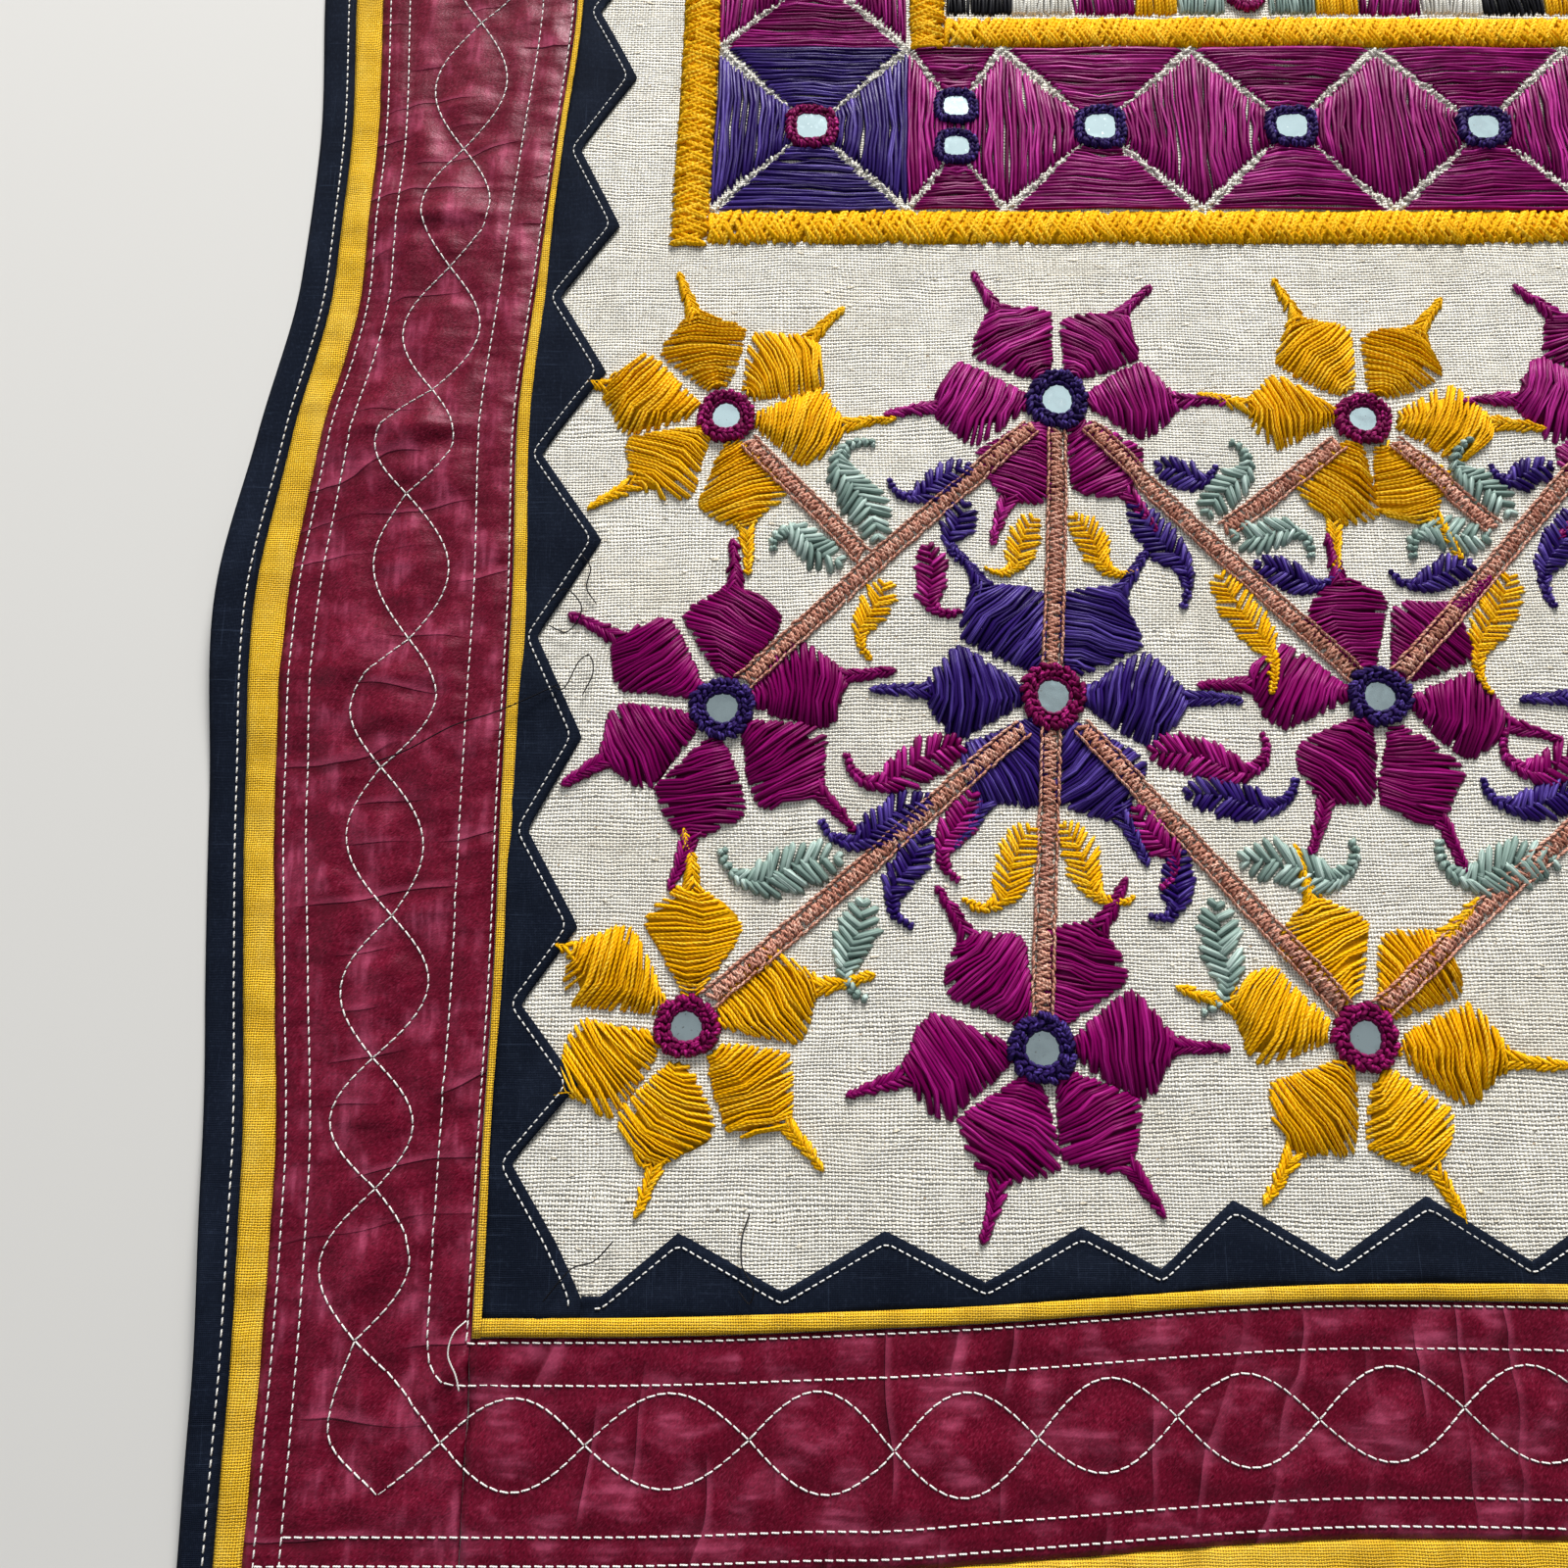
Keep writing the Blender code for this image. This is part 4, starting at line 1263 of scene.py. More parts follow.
def make_quilted(side, tree, finishes):
    """One maroon strip of the border, puffed between its stitched lines."""
    reach = (SHORT_EDGES[0].quilted if side.long else LONG_EDGES[0].inner) - GAP / 2

    def edges(along):
        return out_of(side, "quilted", along) - GAP / 2, out_of(side, "inner", along) + GAP / 2

    def top(at):
        seam = np.minimum(at.outer - at.out, at.out - at.inner)
        near = np.minimum(nearest(tree, at.x, at.y), 1.2 + seam)
        turned_in = 0.5 * np.exp(-seam / 0.8)
        pucker = np.exp(-near / 3.5)
        return quilted_top(at.x, at.y, near) - turned_in, pucker

    stations = even(-reach, reach, QUILTED.row)
    wide = mean_width(side, "quilted", "inner")
    side_strip(side, QUILTED, finishes, stations, edges, top)


def make_edge_strip(side, form, finishes):
    """A yellow band or a navy binding of the border's outer edge."""
    if side.long:
        low = high = at_corner(BOTTOM, form.outer)
    else:
        low = at_corner(LEFT, form.inner) - GAP
        high = at_corner(RIGHT, form.inner, CORNER_OUT) - GAP
    low, high = low - form.trim, high - form.trim

    def edges(along):
        return out_of(side, form.outer, along) - form.trim, out_of(side, form.inner, along) - TUCK

    def top(at):
        crown = 1 - (2 * at.u - 1) ** 4 * form.droop
        crinkle = form.crinkle * ripples(at.along, at.out * 0.3, 9, 41)
        return lie(at.x, at.y) + form.rise * crown + crinkle * np.sin(math.pi * at.u) ** 0.5, 0.0

    stations = even(-low, high, form.strip.row)
    wide = mean_width(side, form.outer, form.inner)
    side_strip(side, form.strip, finishes, stations, edges, top)


def make_piping(side, finishes):
    """The narrow yellow fold between the toothed strip and the quilted border."""
    if side.long:
        reach = SHORT_EDGES[0].inner - GAP / 2
    else:
        reach = LONG_EDGES[0].inner - LEFT.piping - GAP

    def edges(along):
        outer = out_of(side, "inner", along) - GAP
        return outer, outer - np.maximum(smooth(side.widths, "wide", along), side.piping - 0.4)

    def top(at):
        height = lie(at.x, at.y) + FIELD_THICK + PIPING_THICK - 0.4 * (2 * at.u - 1) ** 4
        return height + 0.12 * ripples(at.along, at.out, 8, 45), 0.0

    stations = even(-reach, reach, PIPING.row)
    side_strip(side, PIPING, finishes, stations, edges, top)


def make_toothed(side, finishes):
    """A navy strip with turned-under teeth, stitched down on the panel's edge."""
    corners, _ = tooth_profile(side)
    end = tooth_end(side)
    parts = []
    for low, high in zip(corners, corners[1:]):
        parts.append(np.linspace(low, high, max(int((high - low) / TOOTHED.row), 2), endpoint=False))
    stations = np.concatenate(parts + [[corners[-1]]]) * (1 + TUCK / end)

    def edges(along):
        seam = piping_edge(side, along)
        return seam + TUCK, seam - tooth_reach(side, along)

    def top(at):
        edge = at.out - at.inner
        stitch_dip = 0.35 * np.exp(-((edge - TOOTH_DIP) / 1.6) ** 2)
        turned_under = 0.45 * np.exp(-edge / 0.7)
        wave = 0.12 * ripples(at.x, at.y, 13, 51)
        tucked_in = 0.5 * np.exp((at.out - at.outer) / 0.6)
        height = lie(at.x, at.y) + FIELD_THICK + TOOTHED_THICK
        return height - stitch_dip - turned_under + wave - tucked_in, 0.0

    reach = tooth_reach(side, np.linspace(-end, end, 4000))
    side_strip(side, TOOTHED, finishes, stations, edges, top)


def stitched(yarn, line, ground, seed, pitch=STITCH_PITCH, half=0.25, gap=0.08):
    """Lays machine stitches along a line, each dipping into the cloth at both ends."""
    roll = np.random.default_rng(seed)
    count = max(int(round(length_of(line) / pitch)), 1)
    joints = resampled(line, count + 1)
    start, way = joints[:-1], np.diff(joints, axis=0)
    aside = np.stack([-way[:, 1], way[:, 0]], axis=1) * 0.03
    parts = []
    for share, rise in ((gap, -0.2), (gap + 0.14, 0.26), (0.86 - gap, 0.26), (1 - gap, -0.2)):
        parts.append((start + way * share + aside * (1 - 2 * share), rise))
    yarn.lay(lifted(ground, parts), half, 0.2, roll.uniform(0.3, 1.0, count))


def make_stitches(lines, tree, finish):
    """All white machine stitching: the quilting, and lines on the binding and the teeth."""
    def on_border(x, y):
        return quilted_top(x, y, nearest(tree, x, y))

    def on_binding(x, y):
        return lie(x, y) + BINDING_THICK * 0.9

    def on_teeth(x, y):
        return lie(x, y) + FIELD_THICK + TOOTH_STITCH_RISE

    border, teeth = Yarn(), Yarn()
    for number, line in enumerate(lines + [turned(line) for line in lines]):
        gap = 0.05 if len(line) > MOST_BENT_PLACES else 0.0
        stitched(border, line, on_border, BORDER_SEED + number, gap=gap)
    for number, side in enumerate(SIDES):
        reach = CORNER_OUT - BINDING_STITCH_END if side.long else LONG_EDGES[0].quilted
        line = parallel_line(side, reach, "band", BINDING_STITCH)
        stitched(border, line, on_binding, BINDING_SEED + number)
        corners, _ = tooth_profile(side)
        along = np.linspace(corners[0] + 3, corners[-1] - 3, 2600)
        reach = np.pad(tooth_reach(side, along), TOOTH_STITCH_EVEN, "edge")
        window = 2 * TOOTH_STITCH_EVEN + 1
        rounded = np.convolve(reach, np.ones(window) / window, "valid")
        inside = np.maximum(rounded - TOOTH_STITCH, 0.9)
        line = np.stack(place(side, along, piping_edge(side, along) - inside), axis=1)
        stitched(teeth, line, on_teeth, TEETH_SEED + number, TOOTH_STITCH_PITCH, half=0.23)
    border.made("border_stitches", finish, "white_sewing_thread")
    teeth.made("tooth_stitches", finish, "white_sewing_thread")


def flower_rows():
    """Every flower: both halves of the lower end, then the upper end."""
    lower = list(FLOWERS)
    for at in FLOWERS:
        if abs(at.x) > MIDDLE_COLUMN:
            lower.append(at._replace(x=-at.x, points=[180 - turn for turn in at.points]))
    upper = [at._replace(x=-at.x, y=-at.y, points=[turn + 180 for turn in at.points]) for at in lower]
    return lower + upper


def petal_rows():
    """Every petal. Its turn is drawn towards an even spacing, and its size and slant vary."""
    roll = np.random.default_rng(PETAL_SHAPE_SEED)
    rows = []
    for flower in flower_rows():
        step = -PETAL_STEP if flower.points[1] < flower.points[0] else PETAL_STEP
        first = np.mean([turn - step * number for number, turn in enumerate(flower.points)])
        wide = 1.03 if flower.petals == "yellow" else 1.07
        for number, point in enumerate(flower.points):
            turn = first + step * number
            rows.append(Petal(
                flower.x, flower.y, turn + 0.45 * (point - turn), tail=point,
                size=roll.uniform(0.96, 1.04), wide=wide * roll.uniform(0.93, 1.06),
                slant=roll.uniform(-24, 24), bow=roll.uniform(-1.8, 1.8),
                colour=flower.petals, light=flower.light,
            ))
    return rows


def axes(degrees):
    """A direction and the one to its left."""
    turn = math.radians(degrees)
    ahead = np.array([math.cos(turn), math.sin(turn)])
    return ahead, np.array([-ahead[1], ahead[0]])


def petal_half(petal, reach):
    """A petal's half width at a distance from the heart."""
    return petal.wide * np.interp(reach / petal.size, PETAL_REACH, PETAL_HALF, left=0.0, right=0.0)


def petal_bend(petal, reach):
    """How far the petal's middle leans aside, towards its long point."""
    return math.tan(math.radians(petal.tail - petal.turn)) * np.maximum(reach - PETAL_LEAN, 0)


def petal_height(petals, x, y):
    """How thick the satin stitches lie at each place."""
    height = np.zeros(np.shape(x))
    for petal in petals:
        ahead, left = axes(petal.turn)
        dx, dy = x - petal.x, y - petal.y
        near = (dx**2 + dy**2) < PETAL_FAR**2
        if not np.any(near):
            continue
        reach, side = dx * ahead[0] + dy * ahead[1], dx * left[0] + dy * left[1]
        half = np.maximum(petal_half(petal, reach), 0.01)
        crown = np.clip(1 - ((side - petal_bend(petal, reach)) / half) ** 2, 0, 1)
        satin = SATIN_THICK * np.sqrt(crown) * np.minimum(half / 6, 1)
        height = np.maximum(height, np.where(near, satin, 0))
    return height


def belly(share):
    """0 at both ends of a stitch and 1 at its middle."""
    return 4 * share * (1 - share)


def lay_petal(yarn, petal, stitch, seed):
    """One petal: a low pad and satin stitches across it, slanted, wavy and ragged-ended."""
    roll = np.random.default_rng(seed)
    ahead, left = axes(petal.turn)
    heart = np.array([petal.x, petal.y])
    low, high = PETAL_REACH[0] * petal.size, PETAL_REACH[-1] * petal.size
    reach = np.arange(low - 4.0, high + 4.0, stitch.pitch)
    reach = reach + roll.uniform(-0.22, 0.22, len(reach))
    # A stitch lies where its slanted line is inside the petal.
    run = np.linspace(-20, 20, 201)[None, :]
    turn = math.radians(petal.slant) + 0.012 * (reach - 20)[:, None]
    turn = turn + roll.normal(0, 0.045, len(reach))[:, None]
    along = reach[:, None] + run * np.sin(turn)
    aside = run * np.cos(turn) - petal_bend(petal, along)
    inside = (abs(aside) <= petal_half(petal, along)) & (along > low) & (along < high)
    kept = inside.sum(axis=1) > 12
    reach, turn, inside = reach[kept], turn[kept, 0], inside[kept]
    first = run[0][inside.argmax(axis=1)]
    last = run[0][inside.shape[1] - 1 - inside[:, ::-1].argmax(axis=1)]
    first = first + roll.uniform(-0.5, 0.2, len(first))
    last = last + roll.uniform(-0.2, 0.5, len(last))
    size = last - first
    jitter = roll.uniform(-0.16, 0.16, len(first))
    wave = roll.normal(0, 0.2, (len(first), len(PETAL_STATIONS)))
    parts = []
    for number, share in enumerate(PETAL_STATIONS):
        s = first + size * share
        full = belly(share)
        drift = 0.6 * np.sin(s / 3.6 + seed) + 0.35 * np.sin(s / 1.9 + 2 * seed)
        forward = reach + s * np.sin(turn) + petal.bow * full + wave[:, number] * (0.3 + full) + drift
        at = heart + forward[:, None] * ahead + (s * np.cos(turn))[:, None] * left
        rise = 0.42 + jitter + 0.95 * full * np.minimum(size / 20, 1)
        parts.append((at, rise if full else SATIN_DIP))
    thick = stitch.half * roll.uniform(0.66, 1.22, (len(first), 1))
    shade = petal.light * roll.uniform(0, 1, len(first))
    yarn.lay(lifted(field_top, parts), thick, stitch.tall, shade)
    # A low pad at the thread's darkest shade: painted shade in the gaps between the stitches.
    core = np.linspace(low + 0.8, high - 0.8, 8)
    pad = heart + core[:, None] * ahead + petal_bend(petal, core)[:, None] * left
    wide = np.maximum(petal_half(petal, core) - 1.0, 0.3)
    yarn.lay(laid(field_top, pad, 0.2)[None], wide[None], np.minimum(wide * 0.12, 0.75)[None], 0.0)


def fishbone(yarn, spine, half, pitch, thick, ground, seed, lead=0.75, light=1.0):
    """Slanted stitches from both edges of a narrow shape, crossing at its middle.

    half has shares along the spine and the half width at each. lead is how far forward a stitch
    goes for each unit of that width.
    """
    roll = np.random.default_rng(seed)
    count = max(int(length_of(spine) / pitch), 3)
    line = resampled(spine, count)
    way = np.gradient(line, axis=0)
    way /= np.maximum(np.linalg.norm(way, axis=1, keepdims=True), 1e-9)
    left = np.stack([-way[:, 1], way[:, 0]], axis=1)
    share = np.linspace(0, 1, count)
    for sign in (1, -1):
        wide = np.interp(share, *half) * roll.uniform(0.84, 1.1, count)
        edge = line + left * (sign * wide)[:, None] + roll.normal(0, 0.3, (count, 2))
        reach = wide * lead * roll.uniform(0.8, 1.2, count) + 0.9
        end = line + way * reach[:, None] - left * (sign * 0.3 * wide)[:, None]
        bow = way * roll.normal(-0.06, 0.06, count)[:, None] * wide[:, None]
        lift = 0.1 * sign + roll.uniform(-0.12, 0.12, count)
        parts = []
        for part, rise in FISHBONE_STATIONS:
            parts.append((edge + (end - edge) * part + bow * belly(part), rise + lift))
        yarn.lay(lifted(ground, parts), thick, thick * 0.62, light * roll.uniform(0, 1, count))


def lay_point(yarn, petal, half, seed):
    """The long point of a petal, as two rows of short crossing stitches."""
    ahead, left = axes(petal.tail)
    along, aside = axes(petal.turn)
    heart = np.array([petal.x, petal.y])
    reach = POINT_REACH[0] * petal.size
    start = heart + along * reach + aside * petal_bend(petal, reach)
    beyond = (POINT_LIMIT - abs(petal.x)) / max(ahead[0] * np.sign(petal.x), 0.01)
    end = heart + ahead * min(POINT_REACH[-1] * petal.size, max(beyond, 41.0))
    middle = (start + end) / 2 + left * 0.05 * math.cos(seed) * np.linalg.norm(end - start)
    spine = bent(start, middle, end)
    widths = (np.linspace(0, 1, len(POINT_HALF)), POINT_HALF)
    fishbone(yarn, spine, widths, POINT_PITCH, half, field_top, seed, 1.6, petal.light)


def leaf_spine(leaf):
    """A leaf's middle line from its base to its hooked tip."""
    share = np.linspace(0, 1, 60)
    hook = math.radians(leaf.hook)
    before, after = np.clip(share / 0.5, 0, 1), np.clip((share - 0.5) / 0.5, 0, 1)
    heading = hook * after**1.3 - 0.25 * hook * before
    step = np.stack([np.cos(heading), np.sin(heading)], axis=1)
    line = np.cumsum(step, axis=0)
    line = line - line[0]
    from_base = complex(*line[-1])
    wanted = complex(leaf.end_x - leaf.x, leaf.end_y - leaf.y)
    turn = wanted / from_base
    moved = (line[:, 0] + 1j * line[:, 1]) * turn
    return np.stack([moved.real + leaf.x, moved.imag + leaf.y], axis=1)


def mirrored(x, y):
    """The x of a stem's end in the mirrored plant, at the same flower in the middle column."""
    for flower in FLOWERS:
        if abs(flower.x) < MIDDLE_COLUMN and math.hypot(flower.x - x, flower.y - y) < 15:
            return 2 * flower.x - x
    return -x


def plants(rows):
    """One plant's rows, its mirror image, and both turned half round for the upper end."""
    lower = list(rows)
    for row in rows:
        if isinstance(row, Leaf):
            lower.append(row._replace(x=-row.x, end_x=-row.end_x, hook=-row.hook))
        else:
            ends = {"x": mirrored(row.x, row.y), "end_x": mirrored(row.end_x, row.end_y)}
            lower.append(row._replace(**ends))
    upper = []
    for row in lower:
        upper.append(row._replace(x=-row.x, y=-row.y, end_x=-row.end_x, end_y=-row.end_y))
    return lower + upper


def bearing(start, end):
    """A straight line's length, its direction and the one to its left."""
    reach = np.linalg.norm(end - start)
    ahead = (end - start) / reach
    return reach, ahead, np.array([-ahead[1], ahead[0]])


def lay_stem(yarn, stem, ground, seed):
    """A braided stem: two twisted edge cords with crossing threads between them."""
    roll = np.random.default_rng(seed)
    start = np.array([stem.x, stem.y])
    reach, ahead, left = bearing(start, np.array([stem.end_x, stem.end_y]))

    def at(run, side, rise):
        wave = 0.35 * np.sin(run / 17 + seed)
        return start + run[:, None] * ahead + (side + wave)[:, None] * left, rise

    for sign in (1, -1):
        run = np.arange(0.4, reach - 2.0, STEM_PITCH)
        count = len(run)
        run = run + roll.uniform(-0.4, 0.4, count)
        edge = sign * (STEM_HALF + roll.normal(0, 0.14, count))
        slant = sign * roll.uniform(0.25, 0.6, count)
        parts = [at(run + on, edge + slant * lean, rise) for on, lean, rise in STEM_EDGE_STATIONS]
        yarn.lay(lifted(ground, parts), 0.46, 0.44, roll.uniform(0.2, 1, count))
    for sign, first in ((1, 0.6), (-1, 1.5)):
        run = np.arange(first, reach - 3.0, STEM_PITCH)
        count = len(run)
        run = run + roll.uniform(-0.5, 0.5, count)
        wide = roll.uniform(1.9, 2.8, count)
        parts = [at(run + on, sign * wide * side, rise) for on, side, rise in STEM_CROSS_STATIONS]
        half = roll.uniform(0.52, 0.86, (count, 1))
        yarn.lay(lifted(ground, parts), half, 0.46, roll.uniform(0, 1, count))


def lay_ring(yarn, ring, seed):
    """A raised thread ring that holds a mirror: two rows of knots over a bed and an inner rim."""
    roll = np.random.default_rng(seed)
    lean = roll.uniform(0.86, 0.98) if ring.square else roll.uniform(0.94, 1.08)
    inner = ring.outer * (SQUARE_OPENING if ring.square else ROUND_OPENING)
    deep = ring.outer - inner

    def at(turn, reach, rise):
        puff = 1 + ring.square * (0.13 * np.sin(2 * turn) ** 2 - 0.04)
        puff = puff + 0.03 * np.sin(3 * turn + seed)
        x = ring.x + reach * puff * np.cos(turn)
        y = ring.y + reach * puff * np.sin(turn) * lean
        return np.stack([x, y], axis=1), rise

    for row in KNOT_ROWS:
        turn = np.arange(row.count) * math.tau / row.count + roll.uniform(-0.09, 0.09, row.count)
        reach = inner + deep * (row.middle + roll.uniform(-0.07, 0.07, row.count))
        half = deep * roll.uniform(0.21, 0.3, row.count)
        parts = []
        for (share, out), rise in zip(KNOT_STATIONS, row.rises):
            parts.append(at(turn + row.swing * share, reach + half * out, rise))
        yarn.lay(lifted(field_top, parts), row.half, row.half * 0.8, roll.uniform(0, 1, row.count))
    bed, rim = (ring.outer + inner) / 2, inner + 0.1 * deep
    # The rim's threads are laid dark: painted shade at the opening's inner edge, under the overhanging
    # ring.
    for reach, count, rise, wide, tall, shade in (
        (bed, 12, 0.7, deep * 0.36, 0.7, 0.0),
        (rim, 14, 1.25, 0.78, 0.6, 0.4),
    ):
        turn = np.arange(count) * math.tau / count
        step = math.tau / count
        parts = [at(turn + share * step, reach, rise + lift) for share, lift in RIM_STATIONS]
        yarn.lay(lifted(field_top, parts), wide, tall, shade * roll.uniform(0, 1, count))


def satin_rows(yarn, low, high, ends, upright, seed):
    """Parallel stitches from low to high. ends gives where each one starts and stops."""
    roll = np.random.default_rng(seed)
    count = max(int(round((high - low) / SATIN_PITCH)), 1)
    at = low + (np.arange(count) + 0.5) * (high - low) / count
    start, end = ends(at)
    kept = end - start > 2.0
    at, start, end = at[kept], start[kept], end[kept]
    if not len(at):
        return
    start = start + roll.uniform(-0.5, 0.6, len(at))
    end = end + roll.uniform(-0.6, 0.5, len(at))
    lift = roll.uniform(-0.14, 0.14, len(at))
    bow = roll.normal(0, 0.36, (len(at), len(SATIN_STATIONS)))
    sag = roll.normal(0, 0.9) * np.sin(np.pi * (at - low) / (high - low))
    free = np.clip(np.minimum(at - low, high - at) / 6, 0.12, 1)
    parts = []
    for number, share in enumerate(SATIN_STATIONS):
        run = start + (end - start) * share
        full = belly(share)
        drift = 0.7 * np.sin(run / 8.5 + seed) + 0.4 * np.sin(run / 3.7 + 2 * seed)
        over = at + bow[:, number] * (0.3 + 0.7 * full) + sag * full + drift * min(full * 4, 1) * free
        spot = np.stack([over, run] if upright else [run, over], axis=1)
        rise = 0.45 + 0.4 * full * np.minimum((end - start) / 40, 1) + lift
        parts.append((spot, rise if full else SATIN_DIP))
    thick = SATIN_HALF * roll.uniform(0.62, 1.25, (len(at), 1))
    yarn.lay(lifted(field_top, parts), thick, SATIN_HALF * 0.5, roll.uniform(0, 1, len(at)))


def slanted_ends(base, apex, first, climb, last, drop):
    """The ends of stitches between two diagonals that start from first and last at base."""
    def ends(at):
        share = np.clip((at - base) / (apex - base), 0, 1)
        return first + climb * share + BARE, last - drop * share - BARE

    return ends


def satin_block(yarns, block, seed):
    """Four triangles of satin stitch round a block's ring or rings, with bare diagonals."""
    x0, y0, x1, y1 = block[:4]
    low_y, high_y = block.rings
    middle = (x0 + x1) / 2
    level, upright = (x0, middle - x0, x1, middle - x0), (y0, low_y - y0, y1, y1 - high_y)
    for number, (low, high, base, apex, edges) in enumerate((
        (y0, low_y, y0, low_y, level),
        (high_y, y1, y1, high_y, level),
        (x0, middle, x0, middle, upright),
        (middle, x1, x1, middle, upright),
    )):
        ends = slanted_ends(base, apex, *edges)
        satin_rows(yarns[block.colour], low, high, ends, edges is upright, seed + number)
    roll = np.random.default_rng(seed + 4)
    for corner in ((x0, y0), (x1, y0), (x0, y1), (x1, y1)):
        apex = np.array([middle, low_y if corner[1] == y0 else high_y])
        start = np.array(corner)
        count = int(np.linalg.norm(apex - start) / 1.75)
        share = np.linspace(0.02, 0.84, count)[:, None]
        at = start + (apex - start) * share + roll.normal(0, 0.45, (count, 2))
        tilt = roll.uniform(0, math.tau, count)
        step = np.stack([np.cos(tilt), np.sin(tilt)], axis=1) * roll.uniform(0.5, 1.9, count)[:, None]
        parts = [(at + step * way, rise) for way, rise in RIDGE_STATIONS]
        half = roll.uniform(0.3, 0.62, (count, 1))
        yarns["natural"].lay(lifted(field_top, parts), half, 0.3, roll.uniform(0, 1, count))


def braid(yarn, start, end, wide, seed):
    """A dense herringbone band. start and end are on its middle line."""
    roll = np.random.default_rng(seed)
    start = np.array(start, float)
    reach, ahead, left = bearing(start, np.array(end, float))
    lean = wide * 0.5
    under = start + np.linspace(0.5, reach - 0.5, 12)[:, None] * ahead
    yarn.lay(laid(field_top, under, 0.3)[None], wide * 0.47, 0.25, 0.3)
    for sign in (1, -1):
        begin = np.arange(-lean * 0.5, reach - lean * 0.6, BRAID_PITCH)
        count = len(begin)
        begin = begin + roll.normal(0, 0.35, count)
        half = wide / 2 + roll.uniform(-0.9, 0.5, count)
        length = lean * roll.uniform(0.75, 1.3, count)
        wave = roll.normal(0, 0.3, (count, len(BRAID_STATIONS)))
        lift = roll.uniform(-0.15, 0.2, count)
        parts = []
        for number, (share, rise) in enumerate(BRAID_STATIONS):
            along = np.clip(begin + length * share + wave[:, number], 0.0, reach)
            side = sign * half * (2 * share - 1)
            parts.append((start + along[:, None] * ahead + side[:, None] * left, rise + lift))
        yarn.lay(lifted(field_top, parts), 1.05, 0.6, roll.uniform(0, 1, count))


def braid_frame(yarn, half_wide, half_long, wide, seed):
    """A herringbone band round a rectangle: upright ones from end to end, level ones between."""
    x, y = half_wide - wide / 2, half_long - wide / 2
    inside = x - wide / 2
    for sign in (1, -1):
        braid(yarn, (-x * sign, half_long * sign), (-x * sign, -half_long * sign), wide, seed + sign)
        braid(yarn, (-inside * sign, -y * sign), (inside * sign, -y * sign), wide, seed + 4 + sign)


def flared(x, y):
    """Draws the frame's corners out a little, as the embroidered one is drawn."""
    share = np.clip((abs(y) - FLARE_FROM) / FLARE_OVER, 0, 1.2)
    return x * (1 + FRAME_FLARE * share**1.3)


def frame_blocks():
    """The satin blocks of the frame: the lower end and the left side, and both turned round."""
    blocks = []
    middle = -BLOCK_LONG + BLOCK_DEEP / 2
    for x0, x1 in zip(BLOCK_CUTS, BLOCK_CUTS[1:]):
        at_end = x0 in (BLOCK_CUTS[0], BLOCK_CUTS[-2])
        apart = PAIR_APART if x1 - x0 < NARROW_BLOCK else 0.0
        colours = ("purple", "magenta") if at_end else ("magenta", "purple")
        rings = (middle - apart, middle + apart)
        blocks.append(Block(x0, -BLOCK_LONG, x1, -BLOCK_LONG + BLOCK_DEEP, rings, *colours))
    side = BLOCK_LONG - BLOCK_DEEP
    for y0 in (-side, 0.0):
        middle, x1 = y0 + side / 2, -BLOCK_WIDE + BLOCK_DEEP
        blocks.append(Block(-BLOCK_WIDE, y0, x1, y0 + side, (middle, middle), "magenta", "purple"))
    for block in tuple(blocks):
        low, high = block.rings
        box = (-block.x1, -block.y1, -block.x0, -block.y0)
        blocks.append(Block(*box, (-high, -low), block.colour, block.ring_colour))
    return blocks


